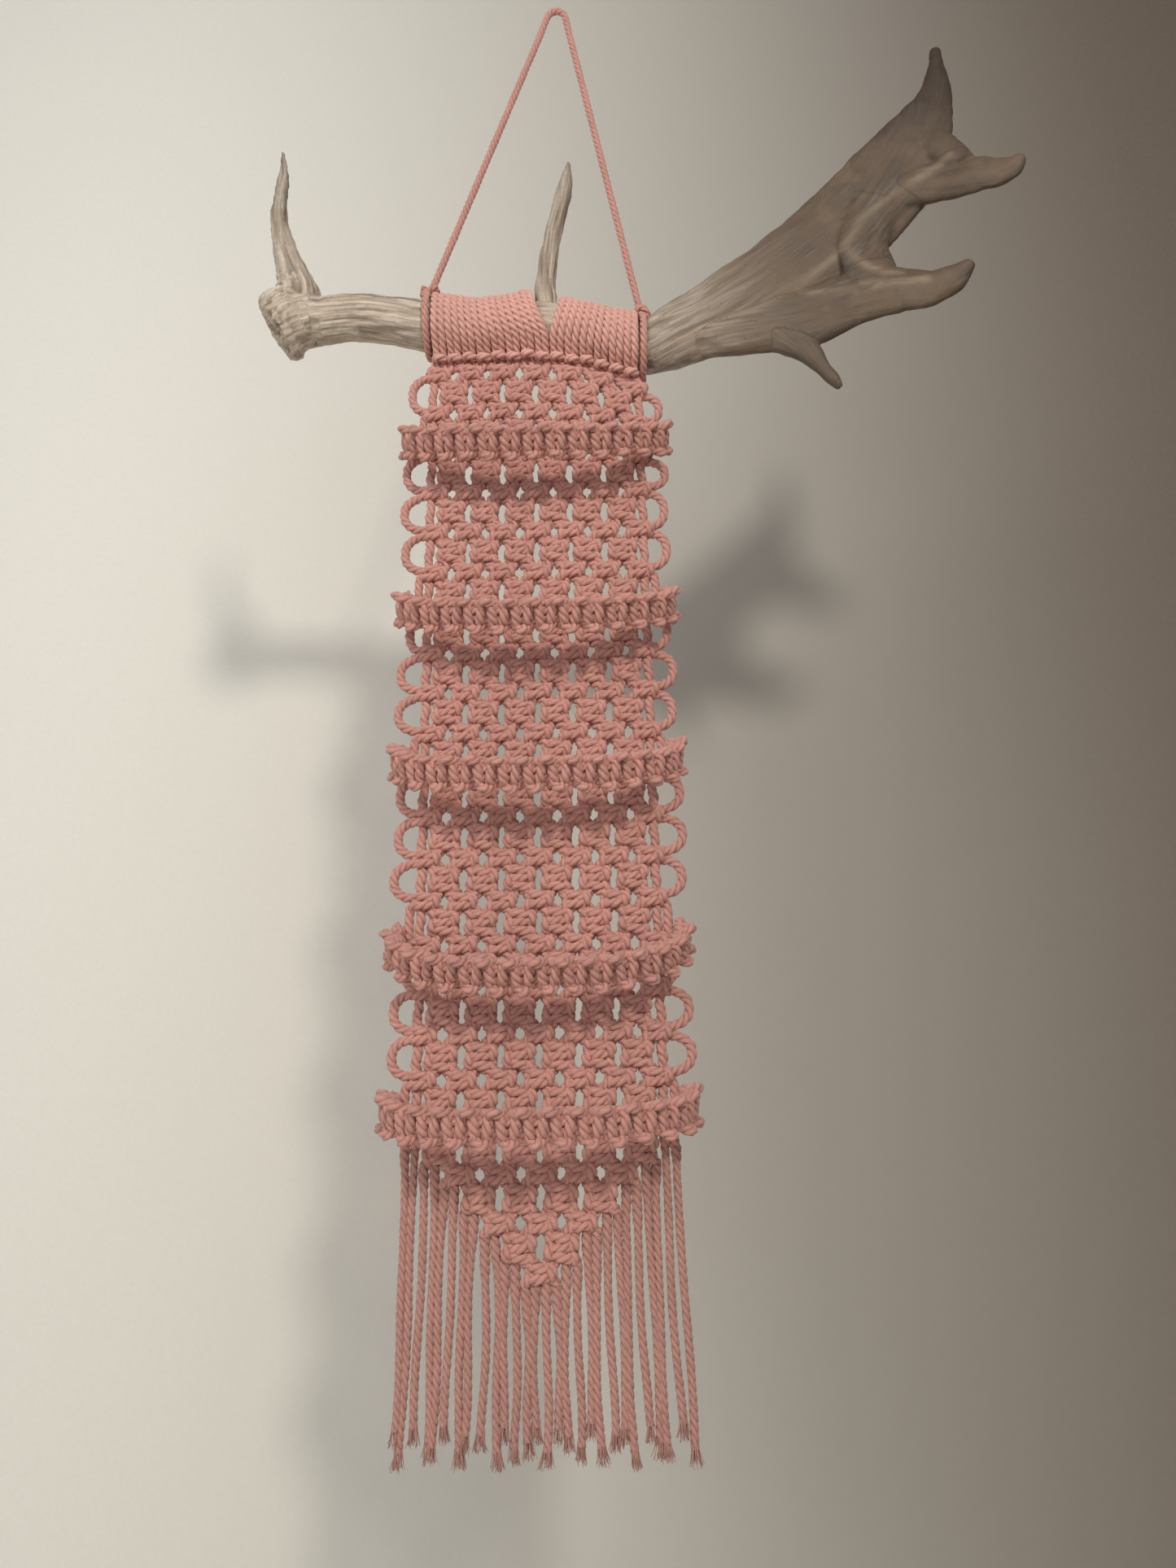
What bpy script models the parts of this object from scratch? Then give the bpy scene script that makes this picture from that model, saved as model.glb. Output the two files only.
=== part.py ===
"""Knotted wall hanging on a shed fallow antler.

One cord hangs from a hook and is tied round the antler's beam at both ends. Fourteen doubled
cords are looped over the beam, knotted into a flat panel that ends in a point, and left as a
fringe. Five knotted bands stand off the panel's front, each a slot that holds spectacles.

Metres, +Z up, +X to the right, the wall on the +Y side. The origin is the top of the hanging
cord's bend, where it lies on the hook.
"""

import math

import bpy
import bmesh
import numpy as np
from mathutils import Matrix, Vector

# Cord and clearances
CORD = 0.0048
GAP = 0.0003
RUNNING_GAP = 0.0008
TURN_GAP = 0.0010
WRAP_GAP = 0.0006

# The panel's centre line lies left of the hook, because the antler's palm weighs down the right.
PANEL_X = -0.016
PANEL_HALF = 0.0715
PANEL_THICK = 0.0090
PICOT_REACH = 0.0075
PICOT_SHORTEST = 0.0080

# Rows of knots: pitch in each stretch, and how many rows it has. The last stretch is the point.
FIRST_ROW_Z = -0.3020
ROW_PITCH = (0.0143, 0.0134, 0.01235, 0.0119, 0.01165, 0.0116)
ROW_COUNT = (5, 7, 8, 8, 8, 6)
SECTION_LAST_ROW = (4, 12, 20, 29, 36)

# The point gets narrower by the same step in each of its rows, down to the half width of its tip.
TIP_HALF = 0.0097
STEP_WIDTH = (PANEL_HALF - TIP_HALF) / ROW_COUNT[-1]

# Pocket bands: height of the ends, and the angle in degrees by which the front hangs lower
BAND_Z = (-0.3495, -0.4610, -0.5555, -0.6575, -0.7445)
BAND_TILT = (35, 33, 29, 33.5, 14)
BAND_REACH = 0.0470
BAND_THICK = 0.0078
BAND_HEIGHT = 0.0200
BAND_END_BACK = 0.0035
BAND_SQUARENESS = 2.5
BAND_STEPS = 12
PICOT_CLEAR = 0.0090

# Wraps over the beam: their x limits from the panel's centre line, at the top and at the bars
LEFT_WRAPS_TOP = (-0.0640, -0.0022)
RIGHT_WRAPS_TOP = (0.0165, 0.0640)
WRAPS_BAR = 0.0645
WRAPPED_HALF = 0.0800
LEFT_COUNT = 8
RIGHT_COUNT = 6
BAR_LINE = ((-0.0680, -0.2935), (-0.0330, -0.2925), (0.0, -0.2915), (0.0330, -0.2965), (0.0680, -0.3090))

# Hanging cord
LOOP_X = 0.0677
KNOT_RADIUS = 0.0052
KNOT_RISE = 0.0031
HOOK_RADIUS = 0.0060
HOOK_STEPS = 6
CORD_POINT_EVERY = 3.0

# Fringe
FRINGE_COUNT = 28
FRINGE_BOTTOM_Z = -0.9050
FRINGE_UNEVEN = 0.0060
FRINGE_SPREAD = 0.0035
FRINGE_SWAY = 0.0030

# Roundness of the solids: sides of the beam and of the tines, and the turns of a slab's edge
RING_SIDES = 12
TINE_SIDES = 10
EDGE_TURNS = (15, 50, 90)
LEDGE = 0.0001

# Antler, from the panel's centre line: x, y, z, half width in the antler's plane, half thickness
BEAM_AND_TOP_TINE = (
    (-0.1665, 0.000, -0.2670, 0.0120, 0.0110),
    (-0.1640, 0.000, -0.2655, 0.0210, 0.0180),
    (-0.1600, 0.000, -0.2625, 0.0245, 0.0205),
    (-0.1555, 0.000, -0.2605, 0.0220, 0.0190),
    (-0.1490, 0.000, -0.2592, 0.0170, 0.0160),
    (-0.1360, 0.000, -0.2590, 0.0150, 0.0140),
    (-0.1110, 0.000, -0.2570, 0.0148, 0.0135),
    (-0.0860, 0.000, -0.2605, 0.0152, 0.0145),
    (-0.0677, 0.000, -0.2650, 0.0163, 0.0160),
    (-0.0360, 0.000, -0.2695, 0.0152, 0.0150),
    (-0.0080, 0.000, -0.2660, 0.0152, 0.0150),
    (0.0210, 0.000, -0.2700, 0.0150, 0.0148),
    (0.0460, 0.000, -0.2780, 0.0156, 0.0150),
    (0.0677, 0.000, -0.2845, 0.0163, 0.0160),
    (0.0740, -0.001, -0.2848, 0.0166, 0.0156),
    (0.0900, -0.005, -0.2785, 0.0222, 0.0125),
    (0.1130, -0.010, -0.2700, 0.0255, 0.0100),
    (0.1500, -0.017, -0.2490, 0.0275, 0.0085),
    (0.1920, -0.026, -0.2215, 0.0310, 0.0073),
    (0.2220, -0.035, -0.1930, 0.0290, 0.0068),
    (0.2430, -0.042, -0.1650, 0.0220, 0.0063),
    (0.2530, -0.045, -0.1430, 0.0130, 0.0058),
    (0.2580, -0.047, -0.1200, 0.0072, 0.0048),
    (0.2590, -0.048, -0.1000, 0.0030, 0.0028),
)
SECOND_TINE = (
    (0.2240, -0.036, -0.1960, 0.0180, 0.0058),
    (0.2520, -0.042, -0.1985, 0.0150, 0.0058),
    (0.2730, -0.051, -0.2030, 0.0138, 0.0055),
    (0.2850, -0.056, -0.2060, 0.0100, 0.0050),
    (0.2925, -0.059, -0.2045, 0.0072, 0.0045),
    (0.2975, -0.061, -0.1995, 0.0030, 0.0030),
)
THIRD_TINE = (
    (0.0820, -0.004, -0.2840, 0.0150, 0.0100),
    (0.1100, -0.009, -0.2805, 0.0175, 0.0090),
    (0.1400, -0.016, -0.2810, 0.0205, 0.0080),
    (0.1650, -0.020, -0.2800, 0.0215, 0.0074),
    (0.1950, -0.027, -0.2735, 0.0185, 0.0068),
    (0.2220, -0.036, -0.2740, 0.0170, 0.0062),
    (0.2400, -0.042, -0.2780, 0.0125, 0.0058),
    (0.2530, -0.047, -0.2745, 0.0088, 0.0050),
    (0.2620, -0.051, -0.2675, 0.0032, 0.0030),
)
LOWER_TINE = (
    (0.1500, -0.017, -0.2880, 0.0140, 0.0064),
    (0.1650, -0.019, -0.3010, 0.0092, 0.0060),
    (0.1735, -0.020, -0.3135, 0.0052, 0.0050),
    (0.1795, -0.020, -0.3225, 0.0042, 0.0042),
    (0.1852, -0.020, -0.3305, 0.0022, 0.0022),
)
MIDDLE_TINE = (
    (0.0080, 0.000, -0.2680, 0.0072, 0.0072),
    (0.0072, 0.000, -0.2500, 0.0070, 0.0070),
    (0.0066, 0.000, -0.2380, 0.0073, 0.0070),
    (0.0102, -0.001, -0.2060, 0.0060, 0.0060),
    (0.0181, -0.002, -0.1680, 0.0056, 0.0054),
    (0.0215, -0.002, -0.1500, 0.0035, 0.0035),
    (0.0230, -0.002, -0.1370, 0.0013, 0.0013),
)
BROW_TINE = (
    (-0.1500, 0.000, -0.2600, 0.0135, 0.0120),
    (-0.1510, -0.003, -0.2400, 0.0130, 0.0115),
    (-0.1560, -0.008, -0.2270, 0.0096, 0.0090),
    (-0.1598, -0.014, -0.2148, 0.0070, 0.0068),
    (-0.1620, -0.022, -0.1935, 0.0054, 0.0054),
    (-0.1577, -0.031, -0.1740, 0.0036, 0.0036),
    (-0.1577, -0.036, -0.1600, 0.0014, 0.0014),
)


# ---------------------------------------------------------------- scene and materials


def clear_scene():
    for thing in list(bpy.data.objects):
        bpy.data.objects.remove(thing, do_unlink=True)


def new_collection(name):
    collection = bpy.data.collections.new(name)
    bpy.context.scene.collection.children.link(collection)
    return collection


def material(name, colour, roughness):
    made = bpy.data.materials.new(name)
    made.use_nodes = True
    shader = made.node_tree.nodes["Principled BSDF"]
    shader.inputs["Base Color"].default_value = (*colour, 1.0)
    shader.inputs["Roughness"].default_value = roughness
    return made


def add_mesh(name, points, faces, collection, look):
    mesh = bpy.data.meshes.new(name)
    mesh.from_pydata([tuple(point) for point in points], [], faces)
    mesh.materials.append(look)
    mesh.validate()
    thing = bpy.data.objects.new(name, mesh)
    collection.objects.link(thing)
    face_outwards(mesh)
    mesh.shade_smooth()
    mesh.set_sharp_from_angle(angle=math.radians(40))
    return thing


def face_outwards(mesh):
    work = bmesh.new()
    work.from_mesh(mesh)
    bmesh.ops.recalc_face_normals(work, faces=work.faces)
    if work.calc_volume(signed=True) < 0:
        bmesh.ops.reverse_faces(work, faces=work.faces)
    work.to_mesh(mesh)
    work.free()


def set_origin(thing, place):
    """Move the object's origin to a joint's axis and leave its shape where it is."""
    thing.data.transform(Matrix.Translation(-Vector(place)))
    thing.location = place


# ---------------------------------------------------------------- lofts


def joined_rings(rings, closed_loop=False):
    """Faces between rings of equal length, with a fan of one polygon on each open end."""
    count = len(rings[0])
    points = [point for ring in rings for point in ring]
    faces = []
    last = len(rings) if closed_loop else len(rings) - 1
    for step in range(last):
        here = step * count
        there = (step + 1) % len(rings) * count
        for side in range(count):
            turn = (side + 1) % count
            faces.append((here + side, here + turn, there + turn, there + side))
    if not closed_loop:
        faces.append(tuple(range(count)))
        faces.append(tuple(range(len(points) - count, len(points))))
    return points, faces


def limb_rings(route, sides=RING_SIDES):
    """Ellipses square to a route, each with its long half in the antler's plane.

    Those of the wrapped stretch of the beam stand upright, so that the wraps can follow them.
    """
    places = [Vector((PANEL_X + x, y, z)) for x, y, z, _, _ in route]
    rings = []
    for index, place in enumerate(places):
        ahead = places[min(index + 1, len(places) - 1)]
        behind = places[max(index - 1, 0)]
        along = (ahead - behind).normalized()
        if route is BEAM_AND_TOP_TINE and abs(route[index][0]) < WRAPPED_HALF:
            along = Vector((1, 0, 0))
        across = Vector((0, 1, 0)).cross(along).normalized()
        depth = along.cross(across)
        wide, thick = route[index][3:]
        turns = [2 * math.pi * side / sides for side in range(sides)]
        rings.append([place + across * wide * math.cos(t) + depth * thick * math.sin(t) for t in turns])
    return rings


def beam_at(x):
    """Centre height, half height and half depth of the beam at x from the panel's centre line."""
    table = np.array(BEAM_AND_TOP_TINE)
    return [float(np.interp(x, table[:, 0], table[:, column])) for column in (2, 3, 4)]


def bar_height(x):
    line = np.array(BAR_LINE)
    return float(np.interp(x, line[:, 0], line[:, 1]))


# ---------------------------------------------------------------- antler


def make_antler(collection, cutters, look):
    antler = add_mesh("antler", *joined_rings(limb_rings(BEAM_AND_TOP_TINE)), collection, look)
    limbs = (
        ("second_tine", SECOND_TINE),
        ("third_tine", THIRD_TINE),
        ("lower_tine", LOWER_TINE),
        ("middle_tine", MIDDLE_TINE),
        ("brow_tine", BROW_TINE),
    )
    for name, route in limbs:
        limb = add_mesh(name, *joined_rings(limb_rings(route, TINE_SIDES)), cutters, look)
        limb.hide_render = True
        limb.display_type = "WIRE"
        union = antler.modifiers.new(name, "BOOLEAN")
        union.operation = "UNION"
        union.solver = "EXACT"
        union.object = limb


# ---------------------------------------------------------------- wraps and hanging cord


def wrap_rings(top, bars, clearance, reach_to_bars, steps=16):
    """Rings of a wrap round the beam. Each limit in x slides from its top value to its bar value."""
    rings = []
    for step in range(steps):
        turn = 2 * math.pi * step / steps
        share = (1 - math.cos(turn)) / 2
        low = bars[0] + (top[0] - bars[0]) * share
        high = bars[1] + (top[1] - bars[1]) * share
        ease = min(CORD * 0.3, (high - low) * 0.2)
        outline = (
            (low, clearance),
            (low, clearance + CORD - ease),
            (low + ease, clearance + CORD),
            (high - ease, clearance + CORD),
            (high, clearance + CORD - ease),
            (high, clearance),
        )
        rings.append([wrap_point(x, out, turn, clearance, reach_to_bars) for x, out in outline])
    return rings


def wrap_point(x, out, turn, clearance, reach_to_bars):
    height, half_height, half_depth = beam_at(x)
    y = -(half_depth + out) * math.sin(turn)
    z = height - (half_height + out) * math.cos(turn)
    if reach_to_bars and turn == 0 and out > clearance:
        z = bar_height(x) + (clearance + CORD - out)
    return Vector((PANEL_X + x, y, z))


def wrap_limits():
    """(top, bars) limits in x of each wrap, left to right, with a gap between neighbours."""
    bar_pitch = 2 * WRAPS_BAR / (LEFT_COUNT + RIGHT_COUNT)
    limits = []
    groups = ((0, LEFT_COUNT, LEFT_WRAPS_TOP), (LEFT_COUNT, RIGHT_COUNT, RIGHT_WRAPS_TOP))
    for first, count, (start, end) in groups:
        top_pitch = (end - start) / count
        for index in range(count):
            top = start + index * top_pitch
            bar = (first + index) * bar_pitch - WRAPS_BAR
            side = GAP / 2
            limits.append(((top + side, top + top_pitch - side), (bar + side, bar + bar_pitch - side)))
    return limits


def make_larks_heads(collection, look):
    for number, (top, bars) in enumerate(wrap_limits(), 1):
        rings = wrap_rings(top, bars, WRAP_GAP, True)
        add_mesh(f"larks_head_{number:02d}", *joined_rings(rings, True), collection, look)


def knot_centre(side):
    """The knot of the hanging cord sits on top of the beam, at side -1 or +1."""
    x = side * LOOP_X
    height, half_height, _ = beam_at(x)
    return Vector((PANEL_X + x, 0, height + half_height + TURN_GAP + CORD + KNOT_RISE))


def make_hanger_knot(name, side, collection, cutters, look):
    x = side * LOOP_X
    limits = (x - CORD / 2, x + CORD / 2)
    rings = wrap_rings(limits, limits, TURN_GAP, False)
    loop = add_mesh(name, *joined_rings(rings, True), collection, look)
    bpy.ops.mesh.primitive_uv_sphere_add(segments=10, ring_count=7, radius=KNOT_RADIUS)
    knot = bpy.context.object
    knot.name = name + "_knot"
    knot.location = knot_centre(side)
    for owner in list(knot.users_collection):
        owner.objects.unlink(knot)
    cutters.objects.link(knot)
    knot.hide_render = True
    knot.display_type = "WIRE"
    union = loop.modifiers.new("knot", "BOOLEAN")
    union.operation = "UNION"
    union.solver = "EXACT"
    union.object = knot


def hanging_cord_route():
    """From the left knot over the hook to the right knot: two straight legs and a bend."""
    apex = Vector((0, 0, -CORD / 2))
    hook = apex - Vector((0, 0, HOOK_RADIUS))
    legs = []
    for side in (-1, 1):
        knot = knot_centre(side)
        away = (hook - knot).normalized()
        start = knot + away * (KNOT_RADIUS + GAP)
        square = Vector((away.z, 0, -away.x)) * side
        touch = hook + square * HOOK_RADIUS
        legs.append((start, touch, math.atan2(square.z, square.x)))
    (left_start, left_touch, left_turn), (right_start, right_touch, right_turn) = legs
    spacing = CORD * CORD_POINT_EVERY
    left_steps = math.ceil((left_touch - left_start).length / spacing)
    right_steps = math.ceil((right_touch - right_start).length / spacing)
    route = [left_start.lerp(left_touch, step / left_steps) for step in range(left_steps)]
    for step in range(HOOK_STEPS + 1):
        turn = left_turn + (right_turn - left_turn) * step / HOOK_STEPS
        route.append(hook + Vector((math.cos(turn), 0, math.sin(turn))) * HOOK_RADIUS)
    route += [right_touch.lerp(right_start, (step + 1) / right_steps) for step in range(right_steps)]
    return route


def make_tube(name, route, diameter, collection, look):
    curve = bpy.data.curves.new(name, "CURVE")
    curve.dimensions = "3D"
    curve.bevel_depth = diameter / 2
    curve.bevel_resolution = 2
    curve.use_fill_caps = True
    spline = curve.splines.new("POLY")
    spline.points.add(len(route) - 1)
    for point, place in zip(spline.points, route):
        point.co = (*place, 1)
    curve.materials.append(look)
    tube = bpy.data.objects.new(name, curve)
    collection.objects.link(tube)
    return tube


# ---------------------------------------------------------------- panel


def row_heights():
    """Heights of all knot rows, top to bottom."""
    heights = [FIRST_ROW_Z]
    for pitch, count in zip(ROW_PITCH, ROW_COUNT):
        for _ in range(count):
            heights.append(heights[-1] - pitch)
    return heights


def section_limits():
    """(top, bottom) of each panel section: the panel folds just under each band."""
    rows = row_heights()
    limits = []
    top = None
    for last in SECTION_LAST_ROW:
        bottom = (rows[last] + rows[last + 1]) / 2
        limits.append((top, bottom))
        top = bottom - GAP
    return limits


def picot_spans(top, bottom):
    """(high, low) of the loops of outer cord beside every second row, clear of the bands."""
    rows = row_heights()
    clear = BAND_HEIGHT / 2 + PICOT_CLEAR
    spans = []
    for index in range(1, SECTION_LAST_ROW[-1], 2):
        high = rows[index - 1]
        low = rows[index + 1]
        for band in BAND_Z:
            if abs(rows[index] - band) < abs(high - low):
                if band > rows[index]:
                    high = min(high, band - clear)
                else:
                    low = max(low, band + clear)
        high = min(high, top - PANEL_THICK / 4)
        low = max(low, bottom)
        if high - low > PICOT_SHORTEST:
            spans.append((high, low))
    return spans


def half_width(z, spans):
    for high, low in spans:
        if low < z < high:
            return PANEL_HALF + PICOT_REACH * math.sin(math.pi * (high - z) / (high - low))
    return PANEL_HALF


def slab_ring(half, thick, heights):
    """An outline round a slab. Its columns share out the width, and each has its own height."""
    last = len(heights) - 1
    ease = thick * 0.4
    columns = [(2 * index / last - 1) * half for index in range(last + 1)]
    front = [(x, -thick) for x in columns]
    back = [(x, thick) for x in reversed(columns)]
    front[0] = (-half + ease, -thick)
    front[-1] = (half - ease, -thick)
    back[0] = (half - ease, thick)
    back[-1] = (-half + ease, thick)
    outline = front + [(half, 0)] + back + [(-half, 0)]
    levels = list(heights) + [heights[-1]] + list(reversed(heights)) + [heights[0]]
    return [Vector((PANEL_X + x, y, z)) for (x, y), z in zip(outline, levels)]


def make_section(number, collection, look):
    top, bottom = section_limits()[number - 1]
    first = number == 1
    radius = PANEL_THICK / 2
    shares = (-1, -0.5, 0, 0.5, 1) if first else (-1, 1)
    tops = [bar_height(share * PANEL_HALF) - RUNNING_GAP if first else top for share in shares]
    settle = min(tops) - 2 * radius
    spans = picot_spans(min(tops), bottom)
    levels = [settle]
    for high, low in spans:
        levels += [high + (low - high) * share for share in (0, 0.2, 0.5, 0.8, 1)]
    levels = sorted({round(level, 6) for level in levels if bottom < level <= settle}, reverse=True)
    rings = []
    for turn in EDGE_TURNS:
        drop = radius * (1 - math.cos(math.radians(turn)))
        thick = radius * math.sin(math.radians(turn))
        heights = [height - drop for height in tops]
        rings.append(slab_ring(half_width(min(heights), spans), thick, heights))
    for level in levels + [bottom]:
        rings.append(slab_ring(half_width(level, spans), radius, [level] * len(shares)))
    section = add_mesh(f"panel_section_{number}", *joined_rings(rings), collection, look)
    set_origin(section, (PANEL_X, 0, fold_height(number)))


def fold_height(number):
    """Height of the axis a section turns about: the centre of its half-round top."""
    if number == 1:
        return min(z for _, z in BAR_LINE) - RUNNING_GAP - PANEL_THICK / 2
    return section_limits()[number - 2][1] - GAP - PANEL_THICK / 2


def point_steps():
    """(half width, z of the ledge under it) of each row of the point."""
    rows = row_heights()
    first = SECTION_LAST_ROW[-1]
    steps = []
    for count in range(ROW_COUNT[-1] + 1):
        half = PANEL_HALF - count * STEP_WIDTH
        low = rows[first + count] - ROW_PITCH[-1] / 2 if count else rows[first] - ROW_PITCH[-1] * 0.9
        steps.append((half, low))
    return steps


def make_point(collection, look):
    top = section_limits()[-1][1] - GAP
    radius = PANEL_THICK / 2
    rings = []
    for turn in EDGE_TURNS:
        drop = radius * (1 - math.cos(math.radians(turn)))
        thick = radius * math.sin(math.radians(turn))
        rings.append(slab_ring(PANEL_HALF, thick, [top - drop] * 2))
    steps = point_steps()
    for index, (half, low) in enumerate(steps):
        rings.append(slab_ring(half, radius, [low] * 2))
        if index + 1 < len(steps):
            rings.append(slab_ring(steps[index + 1][0], radius, [low - LEDGE] * 2))
    point = add_mesh("panel_point", *joined_rings(rings), collection, look)
    set_origin(point, (PANEL_X, 0, top - radius))


# ---------------------------------------------------------------- bands


def superellipse(half, reach, steps):
    """Points from -half round to +half, square enough to run flat across the front."""
    points = []
    for step in range(steps + 1):
        turn = math.pi * step / steps
        x = -math.copysign(abs(math.cos(turn)) ** (2 / BAND_SQUARENESS), math.cos(turn)) * half
        out = abs(math.sin(turn)) ** (2 / BAND_SQUARENESS) * reach
        points.append((x, out))
    return points


def make_band(number, height, tilt, collection, look):
    inner_half = PANEL_HALF + TURN_GAP
    outer = superellipse(inner_half + BAND_THICK, BAND_REACH, BAND_STEPS)
    inner = superellipse(inner_half, BAND_REACH - BAND_THICK, BAND_STEPS)
    outline = [(outer[0][0], -BAND_END_BACK)] + outer + [(outer[-1][0], -BAND_END_BACK)]
    outline += [(inner[-1][0], -BAND_END_BACK)] + list(reversed(inner)) + [(inner[0][0], -BAND_END_BACK)]
    curve = bpy.data.curves.new(f"pocket_band_{number}", "CURVE")
    curve.dimensions = "2D"
    curve.fill_mode = "BOTH"
    curve.extrude = BAND_HEIGHT / 2
    spline = curve.splines.new("POLY")
    spline.points.add(len(outline) - 1)
    for point, (x, out) in zip(spline.points, outline):
        point.co = (x, -out, 0, 1)
    spline.use_cyclic_u = True
    curve.materials.append(look)
    band = bpy.data.objects.new(f"pocket_band_{number}", curve)
    band.location = (PANEL_X, 0, height)
    band.rotation_euler = (math.radians(tilt), 0, 0)
    collection.objects.link(band)


# ---------------------------------------------------------------- fringe


def fringe_top(x):
    """Height of the ledge over a cord at x from the panel's centre line."""
    steps = point_steps()
    for index in range(len(steps) - 1, -1, -1):
        if abs(x) < steps[index][0]:
            return steps[index][1]
    return steps[0][1]


def fringe_route(number):
    pitch = 2 * PANEL_HALF / FRINGE_COUNT
    x = -PANEL_HALF + (number - 0.5) * pitch
    top = fringe_top(x) - GAP - (2 * LEDGE if abs(x) > CORD else 0)
    bottom = FRINGE_BOTTOM_Z + FRINGE_UNEVEN * math.sin(number * 2.4)
    lean = FRINGE_SPREAD * x / PANEL_HALF
    sway = FRINGE_SWAY * math.sin(number * 0.45)
    steps = math.ceil((top - bottom) / (CORD * CORD_POINT_EVERY))
    route = []
    for step in range(steps + 1):
        share = step / steps
        bend = share * share
        route.append(Vector((PANEL_X + x + lean * bend, sway * bend, top + (bottom - top) * share)))
    return route


def main():
    clear_scene()
    parts = new_collection("wall_hanging")
    cutters = new_collection("cutters")
    pink = (0.46, 0.24, 0.20)
    bone = (0.42, 0.35, 0.26)
    make_antler(parts, cutters, material("antler_bone", bone, 0.6))
    make_tube("hanging_cord", hanging_cord_route(), CORD, parts, material("hanging_cord", pink, 0.9))
    knots = material("hanger_knots", pink, 0.9)
    make_hanger_knot("hanger_knot_left", -1, parts, cutters, knots)
    make_hanger_knot("hanger_knot_right", 1, parts, cutters, knots)
    make_larks_heads(parts, material("larks_heads", pink, 0.9))
    panel = material("knotted_panel", pink, 0.9)
    for number in range(1, len(SECTION_LAST_ROW) + 1):
        make_section(number, parts, panel)
    make_point(parts, panel)
    bands = material("pocket_bands", pink, 0.9)
    for number, (height, tilt) in enumerate(zip(BAND_Z, BAND_TILT), 1):
        make_band(number, height, tilt, parts, bands)
    fringe = material("fringe_cords", pink, 0.9)
    for number in range(1, FRINGE_COUNT + 1):
        make_tube(f"fringe_cord_{number:02d}", fringe_route(number), CORD * 0.96, parts, fringe)


main()
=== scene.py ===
"""Looks of the knotted wall hanging: twisted cotton cord, real knots and a shed fallow antler.

Metres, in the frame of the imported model: +Z up, +X to the right, the wall on the +Y side, and the
origin at the top of the hanging cord's bend.
"""

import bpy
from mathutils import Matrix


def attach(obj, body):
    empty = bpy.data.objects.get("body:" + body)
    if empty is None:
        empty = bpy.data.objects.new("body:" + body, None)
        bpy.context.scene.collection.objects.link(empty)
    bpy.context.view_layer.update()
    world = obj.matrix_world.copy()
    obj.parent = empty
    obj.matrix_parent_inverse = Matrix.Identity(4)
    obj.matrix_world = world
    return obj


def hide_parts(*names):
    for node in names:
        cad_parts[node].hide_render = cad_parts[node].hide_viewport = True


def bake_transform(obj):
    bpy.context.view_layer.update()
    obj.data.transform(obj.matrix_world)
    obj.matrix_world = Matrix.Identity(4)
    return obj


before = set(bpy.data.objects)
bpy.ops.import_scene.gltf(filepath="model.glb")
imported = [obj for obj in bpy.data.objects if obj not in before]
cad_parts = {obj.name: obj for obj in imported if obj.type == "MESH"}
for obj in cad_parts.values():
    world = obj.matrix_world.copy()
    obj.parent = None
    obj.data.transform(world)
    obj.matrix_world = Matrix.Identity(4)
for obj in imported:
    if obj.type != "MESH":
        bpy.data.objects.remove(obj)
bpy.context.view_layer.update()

import math

import bpy
import numpy as np
from mathutils import Euler, Matrix, Vector, noise

# ---------------------------------------------------------------- sizes that the CAD source sets

CORD = 0.0048
GAP = 0.0003
TURN_GAP = 0.0010
PANEL_X = -0.016
PANEL_HALF = 0.0715
FIRST_ROW_Z = -0.3020
ROW_PITCH = (0.0143, 0.0134, 0.01235, 0.0119, 0.01165, 0.0116)
ROW_COUNT = (5, 7, 8, 8, 8, 6)
LAST_FULL_ROW = 36
LAST_ROW = 42
STEP_WIDTH = 0.0103

BAND_Z = (-0.3495, -0.4610, -0.5555, -0.6575, -0.7445)
BAND_TILT = (35, 33, 29, 33.5, 14)
BAND_REACH = 0.0470
BAND_THICK = 0.0078
BAND_END_BACK = 0.0035
BAND_SQUARENESS = 2.5

LEFT_WRAPS_TOP = (-0.0640, -0.0022)
RIGHT_WRAPS_TOP = (0.0165, 0.0640)
WRAPS_BAR = 0.0645
LEFT_COUNT = 8
RIGHT_COUNT = 6
BAR_LINE = ((-0.0680, -0.2935), (-0.0330, -0.2925), (0.0, -0.2915), (0.0330, -0.2965), (0.0680, -0.3090))

LOOP_X = 0.0677
KNOT_RADIUS = 0.0052
KNOT_RISE = 0.0031
HOOK_RADIUS = 0.0060

FRINGE_COUNT = 28
FRINGE_BOTTOM_Z = -0.9050
FRINGE_UNEVEN = 0.0060
FRINGE_SPREAD = 0.0035
FRINGE_SWAY = 0.0030
PARTING = 8.5

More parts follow.
